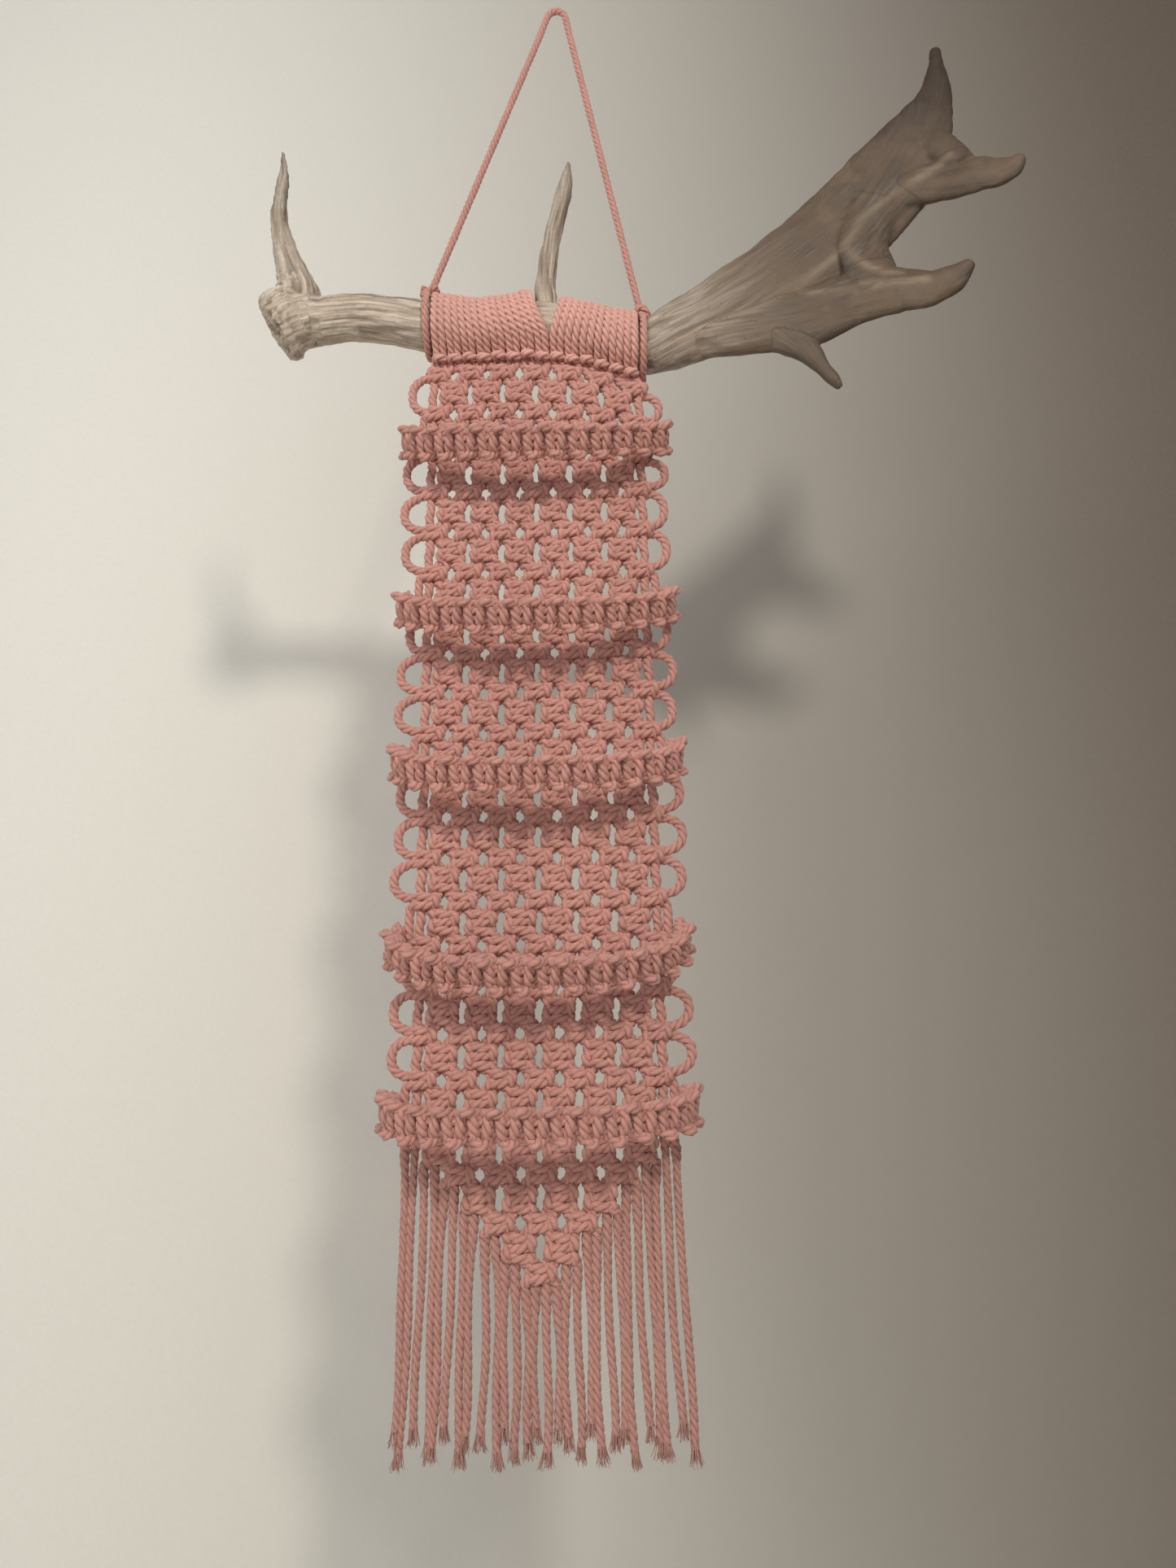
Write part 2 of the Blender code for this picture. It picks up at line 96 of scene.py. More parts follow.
# Antler, from the panel's centre line: x, y, z, half width in the antler's plane, half thickness
BEAM_AND_TOP_TINE = (
    (-0.1665, 0.0, -0.2670, 0.0120, 0.0110),
    (-0.1640, 0.0, -0.2655, 0.0210, 0.0180),
    (-0.1600, 0.0, -0.2625, 0.0245, 0.0205),
    (-0.1555, 0.0, -0.2605, 0.0220, 0.0190),
    (-0.1490, 0.0, -0.2592, 0.0170, 0.0160),
    (-0.1360, 0.0, -0.2590, 0.0150, 0.0140),
    (-0.1110, 0.0, -0.2570, 0.0148, 0.0135),
    (-0.0860, 0.0, -0.2605, 0.0152, 0.0145),
    (-0.0677, 0.0, -0.2650, 0.0163, 0.0160),
    (-0.0360, 0.0, -0.2695, 0.0152, 0.0150),
    (-0.0080, 0.0, -0.2660, 0.0152, 0.0150),
    (0.0210, 0.0, -0.2700, 0.0150, 0.0148),
    (0.0460, 0.0, -0.2780, 0.0156, 0.0150),
    (0.0677, 0.0, -0.2845, 0.0163, 0.0160),
    (0.0740, -0.001, -0.2848, 0.0166, 0.0156),
    (0.0900, -0.005, -0.2785, 0.0222, 0.0125),
    (0.1130, -0.010, -0.2700, 0.0255, 0.0100),
    (0.1500, -0.017, -0.2490, 0.0275, 0.0085),
    (0.1920, -0.026, -0.2215, 0.0310, 0.0073),
    (0.2220, -0.035, -0.1930, 0.0290, 0.0068),
    (0.2430, -0.042, -0.1650, 0.0220, 0.0063),
    (0.2530, -0.045, -0.1430, 0.0130, 0.0058),
    (0.2580, -0.047, -0.1200, 0.0072, 0.0048),
    (0.2590, -0.048, -0.1000, 0.0030, 0.0028),
)
SECOND_TINE = (
    (0.2240, -0.036, -0.1960, 0.0180, 0.0058),
    (0.2520, -0.042, -0.1985, 0.0150, 0.0058),
    (0.2730, -0.051, -0.2030, 0.0138, 0.0055),
    (0.2850, -0.056, -0.2060, 0.0100, 0.0050),
    (0.2925, -0.059, -0.2045, 0.0072, 0.0045),
    (0.2975, -0.061, -0.1995, 0.0030, 0.0030),
)
THIRD_TINE = (
    (0.0820, -0.004, -0.2840, 0.0150, 0.0100),
    (0.1100, -0.009, -0.2805, 0.0175, 0.0090),
    (0.1400, -0.016, -0.2810, 0.0205, 0.0080),
    (0.1650, -0.020, -0.2800, 0.0215, 0.0074),
    (0.1950, -0.027, -0.2735, 0.0185, 0.0068),
    (0.2220, -0.036, -0.2740, 0.0170, 0.0062),
    (0.2400, -0.042, -0.2780, 0.0125, 0.0058),
    (0.2530, -0.047, -0.2745, 0.0088, 0.0050),
    (0.2620, -0.051, -0.2675, 0.0032, 0.0030),
)
LOWER_TINE = (
    (0.1500, -0.017, -0.2880, 0.0140, 0.0064),
    (0.1650, -0.019, -0.3010, 0.0092, 0.0060),
    (0.1735, -0.020, -0.3135, 0.0052, 0.0050),
    (0.1795, -0.020, -0.3225, 0.0042, 0.0042),
    (0.1852, -0.020, -0.3305, 0.0022, 0.0022),
)
MIDDLE_TINE = (
    (0.0080, 0.0, -0.2680, 0.0072, 0.0072),
    (0.0072, 0.0, -0.2500, 0.0070, 0.0070),
    (0.0066, 0.0, -0.2380, 0.0073, 0.0070),
    (0.0102, -0.001, -0.2060, 0.0060, 0.0060),
    (0.0181, -0.002, -0.1680, 0.0056, 0.0054),
    (0.0215, -0.002, -0.1500, 0.0035, 0.0035),
    (0.0230, -0.002, -0.1370, 0.0013, 0.0013),
)
BROW_TINE = (
    (-0.1500, 0.0, -0.2600, 0.0135, 0.0120),
    (-0.1510, -0.003, -0.2400, 0.0130, 0.0115),
    (-0.1560, -0.008, -0.2270, 0.0096, 0.0090),
    (-0.1598, -0.014, -0.2148, 0.0070, 0.0068),
    (-0.1620, -0.022, -0.1935, 0.0054, 0.0054),
    (-0.1577, -0.031, -0.1740, 0.0036, 0.0036),
    (-0.1577, -0.036, -0.1600, 0.0014, 0.0014),
)
LIMBS = (BEAM_AND_TOP_TINE, SECOND_TINE, THIRD_TINE, LOWER_TINE, MIDDLE_TINE, BROW_TINE)

# Webs that round the palm's edge out between its points; the CAD solid leaves them out
OUTER_WEB = (
    (0.2160, -0.0350, -0.2060, 0.0175, 0.0066),
    (0.2090, -0.0330, -0.2210, 0.0160, 0.0068),
    (0.2045, -0.0315, -0.2370, 0.0158, 0.0070),
    (0.2065, -0.0315, -0.2530, 0.0160, 0.0070),
    (0.2120, -0.0330, -0.2690, 0.0150, 0.0066),
)
UPPER_WEB = (
    (0.2480, -0.0430, -0.1650, 0.0120, 0.0056),
    (0.2580, -0.0460, -0.1790, 0.0118, 0.0056),
    (0.2660, -0.0485, -0.1920, 0.0095, 0.0054),
)
WEBS = (OUTER_WEB, UPPER_WEB)

# Pale raised veins on the palm's front, from the panel's centre line: x, z
MAIN_VEIN = (
    (0.083, -0.2925),
    (0.128, -0.2790),
    (0.161, -0.2610),
    (0.191, -0.2400),
    (0.206, -0.2205),
    (0.227, -0.2060),
    (0.257, -0.1890),
)
VEINS = (
    MAIN_VEIN,
    ((0.161, -0.2610), (0.172, -0.2680), (0.201, -0.2713), (0.235, -0.2750)),
    ((0.191, -0.2400), (0.204, -0.2585), (0.222, -0.2650)),
)

# ---------------------------------------------------------------- sizes of the looks

STRAND_PITCH = 2 * PANEL_HALF / FRINGE_COUNT
RING_EVERY = 0.00125
LOBE_STEPS = 6
PLIES = 3
TWIST_PITCH = 0.0132
GROOVE = 0.62
DEPTH = CORD * 0.60
KNOTTED_CORD = 0.0056
WRAPPED_CORD = 0.0052
FRINGE_FULL = 0.93
SHIFT = 0.0012


# ---------------------------------------------------------------- lines and twisted cord


def smooth_line(points, spacing=RING_EVERY):
    """Evenly spaced points on a centripetal cubic through the given ones, and each given one's index."""
    given = np.asarray(points, float)
    chord = np.maximum(np.linalg.norm(np.diff(given, axis=0), axis=1), 1e-7)
    step = np.sqrt(chord)
    rise = np.diff(given, axis=0) / step[:, None]
    slope = np.empty_like(given)
    slope[0], slope[-1] = rise[0], rise[-1]
    weighted = rise[:-1] * step[1:, None] + rise[1:] * step[:-1, None]
    slope[1:-1] = weighted / (step[:-1] + step[1:])[:, None]
    share = np.linspace(0, 1, 13)[:-1]
    a = share[None, :, None]
    p0, p1 = given[:-1, None], given[1:, None]
    m0, m1 = slope[:-1, None] * step[:, None, None], slope[1:, None] * step[:, None, None]
    curve = (2 * a**3 - 3 * a**2 + 1) * p0 + (a**3 - 2 * a**2 + a) * m0
    curve += (-2 * a**3 + 3 * a**2) * p1 + (a**3 - a**2) * m1
    dense = np.concatenate([curve.reshape(-1, 3), given[-1:]])
    run = np.concatenate([[0], np.cumsum(np.linalg.norm(np.diff(dense, axis=0), axis=1))])
    count = max(int(round(run[-1] / spacing)), 2)
    at = np.linspace(0, run[-1], count + 1)
    line = np.stack([np.interp(at, run, dense[:, axis]) for axis in range(3)], axis=1)
    marks = np.rint(run[:: len(share)] / run[-1] * count).astype(int)
    return line, marks


def carried_normals(line):
    """Tangents, and normals carried along the line without twist."""
    tangent = np.gradient(line, axis=0)
    tangent /= np.linalg.norm(tangent, axis=1)[:, None]
    normal = np.empty_like(line)
    first = np.array([0.0, -1.0, 0.0]) if abs(tangent[0, 1]) < 0.9 else np.array([1.0, 0.0, 0.0])
    for index, along in enumerate(tangent):
        first = first - along * (along @ first)
        first = first / math.sqrt(first @ first)
        normal[index] = first
    return tangent, normal


def ply_outline():
    """Angle and share of the radius round a section of plies, with soft grooves between them."""
    sides = PLIES * LOBE_STEPS
    angle = np.arange(sides) * 2 * math.pi / sides
    local = (angle + math.pi / PLIES) % (2 * math.pi / PLIES) - math.pi / PLIES
    round_ply = 0.536 * np.cos(local) + np.sqrt(np.maximum(0.464**2 - (0.536 * np.sin(local)) ** 2, 0))
    share = (round_ply - 0.268) / 0.732
    return angle, GROOVE + (1 - GROOVE) * share, share


class Cord:
    """A twisted cord along a line: rings of points, and the values that its material reads."""

    def __init__(self, points, diameter, seed, spacing=RING_EVERY, pitch=TWIST_PITCH, swell=None):
        self.line, self.marks = smooth_line(points, spacing)
        tangent, normal = carried_normals(self.line)
        side = np.cross(tangent, normal)
        angle, radius, self.share = ply_outline()
        run = np.concatenate([[0], np.cumsum(np.linalg.norm(np.diff(self.line, axis=0), axis=1))])
        phase = seed * 2.399 - 2 * math.pi * run / pitch
        turned = angle[None, :] + phase[:, None]
        uneven = 1 + 0.025 * np.sin(run * 310 + seed * 1.7) + 0.02 * np.sin(run * 145 + seed * 4.1)
        half = diameter / 2 * uneven
        if swell is not None:
            half = half * swell(run)
        reach = half[:, None] * radius[None, :]
        across = np.cos(turned) * reach
        up = np.sin(turned) * reach
        self.skin = self.line[:, None] + normal[:, None] * across[..., None]
        self.skin = self.skin + side[:, None] * up[..., None]
        along = np.broadcast_to((run + seed * 0.731)[:, None], across.shape)
        self.fibre = np.stack([across, up, along], axis=-1)
        self.tone = 0.5 + 0.5 * math.sin(seed * 12.9898)

    def part(self, start, end):
        """(points, fibre, groove, tone) of the rings from start to end."""
        start, end = max(start, 0), min(end, len(self.line) - 1)
        skin = self.skin[start : end + 1]
        groove = np.broadcast_to(self.share, skin.shape[:2])
        return skin, self.fibre[start : end + 1], groove, self.tone

    def whole(self):
        return self.part(0, len(self.line) - 1)


def cord_mesh(name, parts, look):
    """One mesh of several stretches of cord or fibre, each closed with a flat end."""
    points, fibre, groove, tone, corners, totals = [], [], [], [], [], []
    first = 0
    for skin, along, share, shade in parts:
        rings, sides = skin.shape[:2]
        points.append(skin.reshape(-1, 3))
        fibre.append(along.reshape(-1, 3))
        groove.append(share.reshape(-1))
        tone.append(np.full(rings * sides, shade))
        ring = np.arange(rings - 1)[:, None] * sides
        here = np.arange(sides)[None, :]
        turn = (here + 1) % sides
        quads = np.stack([ring + here, ring + turn, ring + sides + turn, ring + sides + here], axis=-1)
        corners.append(first + quads.reshape(-1))
        totals.append(np.full((rings - 1) * sides, 4))
        corners.append(first + np.arange(sides)[::-1])
        corners.append(first + (rings - 1) * sides + np.arange(sides))
        totals.append(np.full(2, sides))
        first += rings * sides
    points = np.concatenate(points)
    corners = np.concatenate(corners)
    totals = np.concatenate(totals)
    mesh = bpy.data.meshes.new(name)
    mesh.vertices.add(len(points))
    mesh.vertices.foreach_set("co", points.astype(np.float32).reshape(-1))
    mesh.loops.add(len(corners))
    mesh.loops.foreach_set("vertex_index", corners.astype(np.int32))
    mesh.polygons.add(len(totals))
    starts = np.concatenate([[0], np.cumsum(totals)[:-1]])
    mesh.polygons.foreach_set("loop_start", starts.astype(np.int32))
    mesh.update(calc_edges=True)
    mesh.validate()
    put_attribute(mesh, "fibre", "FLOAT_VECTOR", np.concatenate(fibre))
    # groove: each point's share between groove and lobe; the cotton paints shade into the grooves from
    # it.
    put_attribute(mesh, "groove", "FLOAT", np.concatenate(groove))
    put_attribute(mesh, "tone", "FLOAT", np.concatenate(tone))
    mesh.shade_smooth()
    mesh.materials.append(look)
    return add_object(name, mesh)


def add_object(name, data):
    thing = bpy.data.objects.new(name, data)
    bpy.context.scene.collection.objects.link(thing)
    return thing


def put_attribute(mesh, name, kind, values):
    made = mesh.attributes.new(name, kind, "POINT")
    key = "vector" if kind == "FLOAT_VECTOR" else "value"
    made.data.foreach_set(key, np.ascontiguousarray(values, np.float32).reshape(-1))


# ---------------------------------------------------------------- materials


class Nodes:
    """Short calls for building a material's nodes."""

    def __init__(self, name, roughness):
        self.material = bpy.data.materials.new(name)
        self.material.use_nodes = True
        self.tree = self.material.node_tree
        self.shader = self.tree.nodes["Principled BSDF"]
        self.shader.inputs["Roughness"].default_value = roughness

    def add(self, kind, inputs=(), **settings):
        node = self.tree.nodes.new(kind)
        for key, value in settings.items():
            setattr(node, key, value)
        for key, value in inputs:
            socket = node.inputs[key]
            if isinstance(value, bpy.types.NodeSocket):
                self.tree.links.new(value, socket)
            else:
                socket.default_value = value
        return node

    def attribute(self, name, output="Fac"):
        return self.add("ShaderNodeAttribute", attribute_name=name).outputs[output]

    def scaled(self, vector, scale):
        return self.add("ShaderNodeMapping", [("Vector", vector), ("Scale", scale)]).outputs["Vector"]

    def noise(self, vector, scale, detail=2.0, roughness=0.5):
        inputs = [("Vector", vector), ("Scale", scale), ("Detail", detail), ("Roughness", roughness)]
        return self.add("ShaderNodeTexNoise", inputs).outputs["Fac"]

    def ramp(self, value, low, high, start=0.0, end=1.0, kind="LINEAR"):
        inputs = [("Value", value), ("From Min", low), ("From Max", high)]
        inputs += [("To Min", start), ("To Max", end)]
        return self.add("ShaderNodeMapRange", inputs, interpolation_type=kind).outputs["Result"]

    def maths(self, operation, first, second):
        return self.add("ShaderNodeMath", [(0, first), (1, second)], operation=operation).outputs["Value"]

    def mix(self, factor, first, second, blend="MIX"):
        node = self.add("ShaderNodeMix", data_type="RGBA", blend_type=blend)
        sockets = {"Factor": factor, "A": first, "B": second}
        for socket in node.inputs:
            value = sockets.get(socket.name)
            if value is None or (socket.name != "Factor" and socket.type != "RGBA"):
                continue
            if socket.name == "Factor" and socket.type != "VALUE":
                continue
            if isinstance(value, bpy.types.NodeSocket):
                self.tree.links.new(value, socket)
            else:
                socket.default_value = value
        return next(socket for socket in node.outputs if socket.type == "RGBA")

    def bump(self, height, distance, strength=1.0, normal=None):
        inputs = [("Height", height), ("Distance", distance), ("Strength", strength)]
        if normal is not None:
            inputs.append(("Normal", normal))
        return self.add("ShaderNodeBump", inputs).outputs["Normal"]

    def finish(self, colour, normal):
        self.tree.links.new(colour, self.shader.inputs["Base Color"])
        self.tree.links.new(normal, self.shader.inputs["Normal"])
        return self.material


def colour(red, green, blue, scale=1.0):
    return (red * scale, green * scale, blue * scale, 1.0)


def cotton(name, base):
    """Matt dyed cotton: fine fibres along the cord, painted shade in the grooves between plies, small
    changes of tone.
    """
    nodes = Nodes(name, 0.92)
    nodes.shader.inputs["Sheen Weight"].default_value = 0.35
    nodes.shader.inputs["Sheen Roughness"].default_value = 0.45
    nodes.shader.inputs["Sheen Tint"].default_value = (1.0, 0.86, 0.80, 1.0)
    nodes.shader.inputs["Specular IOR Level"].default_value = 0.15
    fibre = nodes.attribute("fibre", "Vector")
    fine = nodes.noise(nodes.scaled(fibre, (2600, 2600, 260)), 1.0, 2.0)
    yarn = nodes.noise(nodes.scaled(fibre, (900, 900, 130)), 1.0, 1.0)
    patch = nodes.noise(nodes.scaled(fibre, (60, 60, 45)), 1.0, 2.0)
    dark = colour(*base, 0.72)
    light = colour(*base, 1.16)
    tone = nodes.ramp(fine, 0.3, 0.7, 0.25, 0.75)
    tone = nodes.maths("ADD", tone, nodes.ramp(yarn, 0.3, 0.7, -0.15, 0.15))
    tone = nodes.maths("ADD", tone, nodes.ramp(patch, 0.3, 0.7, -0.12, 0.12))
    tone = nodes.maths("ADD", tone, nodes.ramp(nodes.attribute("tone"), 0.0, 1.0, -0.07, 0.07))
    surface = nodes.mix(tone, dark, light)
    # Painted shade: where the ply outline dips into a groove, the colour is mixed towards a deep brown.
    shade = nodes.ramp(nodes.attribute("groove"), 0.0, 0.75, 0.62, 1.0)
    shaded = nodes.mix(nodes.maths("SUBTRACT", 1.0, shade), surface, colour(0.16, 0.06, 0.045))
    relief = nodes.bump(fine, 0.00030, 0.7)
    relief = nodes.bump(yarn, 0.0005, 0.6, relief)
    return nodes.finish(shaded, relief)


# ---------------------------------------------------------------- the panel's layout


def row_heights():
    heights = [FIRST_ROW_Z]
    for pitch, count in zip(ROW_PITCH, ROW_COUNT):
        for _ in range(count):
            heights.append(heights[-1] - pitch)
    return heights


ROWS = row_heights()


def bar_height(x):
    table = np.array(BAR_LINE)
    return float(np.interp(x, table[:, 0], table[:, 1]))


def beam_at(x):
    """Centre height, half height and half depth of the beam at x from the panel's centre line."""
    table = np.array(BEAM_AND_TOP_TINE)
    return [float(np.interp(x, table[:, 0], table[:, column])) for column in (2, 3, 4)]


def column_x(strand):
    """A strand's x from the panel's centre line. Strands are numbered from 1, left to right."""
    return (strand - 0.5) * STRAND_PITCH - PANEL_HALF


def row_z(row, x):
    """A row's height at x. The first rows follow the slope of the bars and then level out."""
    drop = min(bar_height(x) - bar_height(0) + 0.001, 0)
    return ROWS[row] + drop * max(0, 1 - row / 6)


def knots_in(row):
    """The first strand of each knot in a row."""
    if row <= LAST_FULL_ROW:
        return list(range(1, 28, 4)) if row % 2 == 0 else list(range(3, 26, 4))
    missing = row - LAST_FULL_ROW
    return list(range(1 + 2 * missing, 28 - 2 * missing, 4))


def last_row(strand):
    """The last row of knots that a strand goes through."""
    from_edge = min(strand, FRINGE_COUNT + 1 - strand)
    return min(LAST_FULL_ROW + (from_edge - 1) // 2, LAST_ROW)


def row_limit(row, x):
    """Height of the line between a row and the next. Odd rows are taller than even ones."""
    middle = (row_z(row, x) + row_z(row + 1, x)) / 2
    return middle + (SHIFT if row % 2 == 0 else -SHIFT)


def uneven(strand, row, which):
    """A small steady offset, the same on every run."""
    return 0.00035 * math.sin(strand * 7.31 + row * 3.77 + which * 1.93)


# ---------------------------------------------------------------- knots


def half_knots(heights, side, wide, bulge=0.0):
    """Points of the two working strands through half knots at these heights, the first one first.

    A point is (across, towards the front, up). In each half knot one strand crosses in front of the
    cords that it is tied round and the other comes back behind them. They change direction from one
    half knot to the next, and the back strand then shows as a bump on the edge.
    """
    mm = 0.001
    ahead, behind = [], []
    for index, height in enumerate(heights):
        if index == 0:
            ahead.append((side * 6.6 * mm, DEPTH * 0.1, height + 1.2 * mm))
            behind.append((-side * 7.2 * mm, DEPTH * 0.6, height + 1.6 * mm))
            behind.append((-side * 6.9 * mm, DEPTH * 0.4, height - 0.4 * mm))
        else:
            ahead.append((side * 6.2 * mm, DEPTH * 0.1, height + 0.5 * mm))
            behind.append((-side * (7.0 - bulge) * mm, DEPTH * (0.7 - 0.6 * bulge), height + 0.1 * mm))
        ahead.append((side * 4.3 * mm, DEPTH * 0.9, height - 0.5 * mm))
        ahead.append((0, DEPTH * 1.15, height))
        ahead.append((-side * 4.0 * mm, DEPTH * 0.8, height + 0.6 * mm))
        ahead.append((-side * 6.0 * mm, -DEPTH * 0.4, height + 0.3 * mm))
        behind.append((-side * 5.3 * mm, -DEPTH * 0.45, height - 1.2 * mm))
        behind.append((0, -DEPTH * 1.05, height - 0.2 * mm))
        behind.append((side * 3.8 * mm, -DEPTH * 0.8, height + 0.9 * mm))
        behind.append((side * 5.6 * mm, -DEPTH * 0.1, height + 1.2 * mm))
        behind.append((side * (6.9 - bulge) * mm, DEPTH * (0.75 - 0.6 * bulge), height + 0.1 * mm))
        if index + 1 < len(heights):
            middle = (height + heights[index + 1]) / 2
            ahead.append((-side * (6.7 - 1.5 * bulge) * mm, -DEPTH * 0.7, middle))
            behind.append((side * (7.9 + 0.1 * bulge) * mm, DEPTH * (1.35 + 0.75 * bulge), middle))
            side = -side
    ahead.append((-side * 7.0 * mm, -DEPTH * 0.3, heights[-1] - 1.5 * mm))
    behind.append((side * 7.3 * mm, DEPTH * 0.5, heights[-1] - 1.7 * mm))
    return [[(across * wide, out, up) for across, out, up in strand] for strand in (ahead, behind)]


SHORT_KNOT = (0.0022, -0.0022)
TALL_KNOT = (0.0044, 0.0, -0.0044)
KNOT_WIDE = (0.78, 0.84)
FILLER_SIDE = 0.0022
FLARE_SIDE = 0.0074
FLARE_RISE = 0.0039


def tied_knot(row, first, occupant, routes):
    """One knot of four strands. A tall knot has three half knots, so its outer strands swap."""
    tall = row % 2 == 1
    heights = TALL_KNOT if tall else SHORT_KNOT
    centre = PANEL_X + column_x(first + 1.5) + uneven(first, row, 1)
    middle = row_z(row, column_x(first + 1.5)) + uneven(first, row, 5)
    forward = uneven(first, row, 2)
    lean = uneven(first, row, 6) * 60
    ahead, behind = half_knots(heights, 1, KNOT_WIDE[tall] * (1 + uneven(first, row, 7) * 60))
    if not tall:
        for strand, edge in ((ahead, 1), (behind, -1)):
            strand.insert(0, (edge * FLARE_SIDE, DEPTH * 0.3, FLARE_RISE))
            strand.append((edge * FLARE_SIDE, DEPTH * 0.3, -FLARE_RISE))
    filler = [(0.0, 0.0, heights[0]), (0.0, 0.0, heights[-1])]
    shapes = {
        0: behind,
        1: [(-FILLER_SIDE, out, up) for _, out, up in filler],
        2: [(FILLER_SIDE, out, up) for _, out, up in filler],
        3: ahead,
    }
    for role, points in shapes.items():
        if not tall and first + role in (1, FRINGE_COUNT):
            points = points[2:-2]
        route = routes[occupant[first + role]]
        for across, out, up in points:
            route.append((centre + across, -out - forward, middle + up + across * lean))
    if tall:
        occupant[first], occupant[first + 3] = occupant[first + 3], occupant[first]


# A picot loop: share of the way down, share of its reach
PICOT_LINE = ((0.0, 0.3), (0.1, 0.66), (0.28, 0.94), (0.5, 1.0), (0.72, 0.94), (0.9, 0.66), (1.0, 0.3))
PICOT_REACH = 0.0092
PICOT_TRIM = 0.0030
BAND_NEAR = 0.013
BAND_FAR = 0.022


def loose_strand(row, column, route):
    """A strand beside a row: the outermost one makes a round loop, smaller where a band is near."""
    x = column_x(column)
    side = -1 if column <= 2 else 1
    if column in (1, FRINGE_COUNT):
        high, low = row_z(row - 1, x) - PICOT_TRIM, row_z(row + 1, x) + PICOT_TRIM
        nearest = min(abs(row_z(row, x) - band) for band in BAND_Z)
        clear = min(max((nearest - BAND_NEAR) / (BAND_FAR - BAND_NEAR), 0.1), 1.0)
        bulge = (PICOT_REACH + uneven(column, row, 3) * 4) * clear
        for share, out in PICOT_LINE:
            route.append((PANEL_X + x + side * bulge * out, -0.0006, high + (low - high) * share))
    else:
        route.append((PANEL_X + x - side * 0.0004, -0.0012, row_z(row, x) + 0.002))
        route.append((PANEL_X + x + side * 0.0006, -0.0008, row_z(row, x) - 0.002))


def ledge(strand):
    """Height where a strand leaves the panel as fringe."""
    from_edge = min(strand, FRINGE_COUNT + 1 - strand)
    step = (from_edge - 1) // 2
    if step == 0:
        return ROWS[LAST_FULL_ROW] - ROW_PITCH[-1] * 0.9
    return ROWS[LAST_FULL_ROW + step] - ROW_PITCH[-1] / 2


def bar_of(strand):
    """x of the bar that a strand comes from, and the strand's side of it."""
    bar = (strand - 1) // 2
    side = -1 if strand % 2 else 1
    return (bar + 0.5) * 2 * WRAPS_BAR / (LEFT_COUNT + RIGHT_COUNT) - WRAPS_BAR, side


def strand_start(strand):
    """Where a strand comes out from behind its bar."""
    x, side = bar_of(strand)
    return (PANEL_X + x + side * 0.0021, 0.0006, bar_height(x) + 0.0004)


def fringe_points(strand):
    """Hanging points of one fringe cord. The cords part a little at PARTING, left of the middle."""
    x = column_x(strand)
    top = ledge(strand) - GAP
    bottom = FRINGE_BOTTOM_Z + FRINGE_UNEVEN * math.sin(strand * 2.4)
    lean = FRINGE_SPREAD * x / PANEL_HALF
    sway = FRINGE_SWAY * math.sin(strand * 0.45)
    beyond = strand - PARTING
    apart = 0.0013 * math.sin(strand * 2.1)
    apart += 0.0016 * math.tanh(beyond * 1.5) * math.exp(-((beyond / 4) ** 2))
    points = []
    steps = 9
    for step in range(steps + 1):
        share = step / steps
        wave = 0.0011 * math.sin(share * 7 + strand * 1.9) * share
        bend = share * share
        across = PANEL_X + x + lean * bend + wave + apart * math.sin(min(share * 2.2, 1) * math.pi / 2)
        points.append((across, sway * bend, top + (bottom - top) * share))
    return points


def panel_routes():
    """Per strand: its points, the index of its first point in each row, and that of its fringe.

    The last value says which strand ends in each column of the fringe.
    """
    strands = range(1, FRINGE_COUNT + 1)
    occupant = {column: column for column in strands}
    routes = {strand: [strand_start(strand)] for strand in strands}
    starts = {strand: {} for strand in strands}
    for row in range(LAST_ROW + 1):
        tied = knots_in(row)
        in_knots = {first + role for first in tied for role in range(4)}
        for column in strands:
            if row > last_row(column):
                continue
            strand = occupant[column]
            starts[strand][row] = len(routes[strand])
            edge = column in (1, FRINGE_COUNT)
            if row and not edge:
                x = column_x(column)
                routes[strand].append((PANEL_X + x, uneven(column, row, 4), row_limit(row - 1, x)))
            if column not in in_knots:
                loose_strand(row, column, routes[strand])
        for first in tied:
            tied_knot(row, first, occupant, routes)
    fringe = {}
    for column in strands:
        strand = occupant[column]
        fringe[strand] = len(routes[strand])
        routes[strand] += fringe_points(column)
    return routes, starts, fringe, occupant


# (body above, body below, height of the fold, last row of the piece) of each piece of panel
PANEL_PIECES = (
    ("antler", "panel_1", -0.3143, 2),
    ("panel_1", "panel_2", -0.37115, 8),
    ("panel_2", "panel_3", -0.47828, 16),
    ("panel_3", "panel_4", -0.57685, 25),
    ("panel_4", "panel_5", -0.68358, 33),
    ("panel_5", "tail", -0.7651, LAST_ROW),
)
FRAY_RINGS = 6
FRAY_YARNS = 30
YARN_STEPS = 6
YARN_HALF = 0.00036
FRAY_HALF = 0.0019


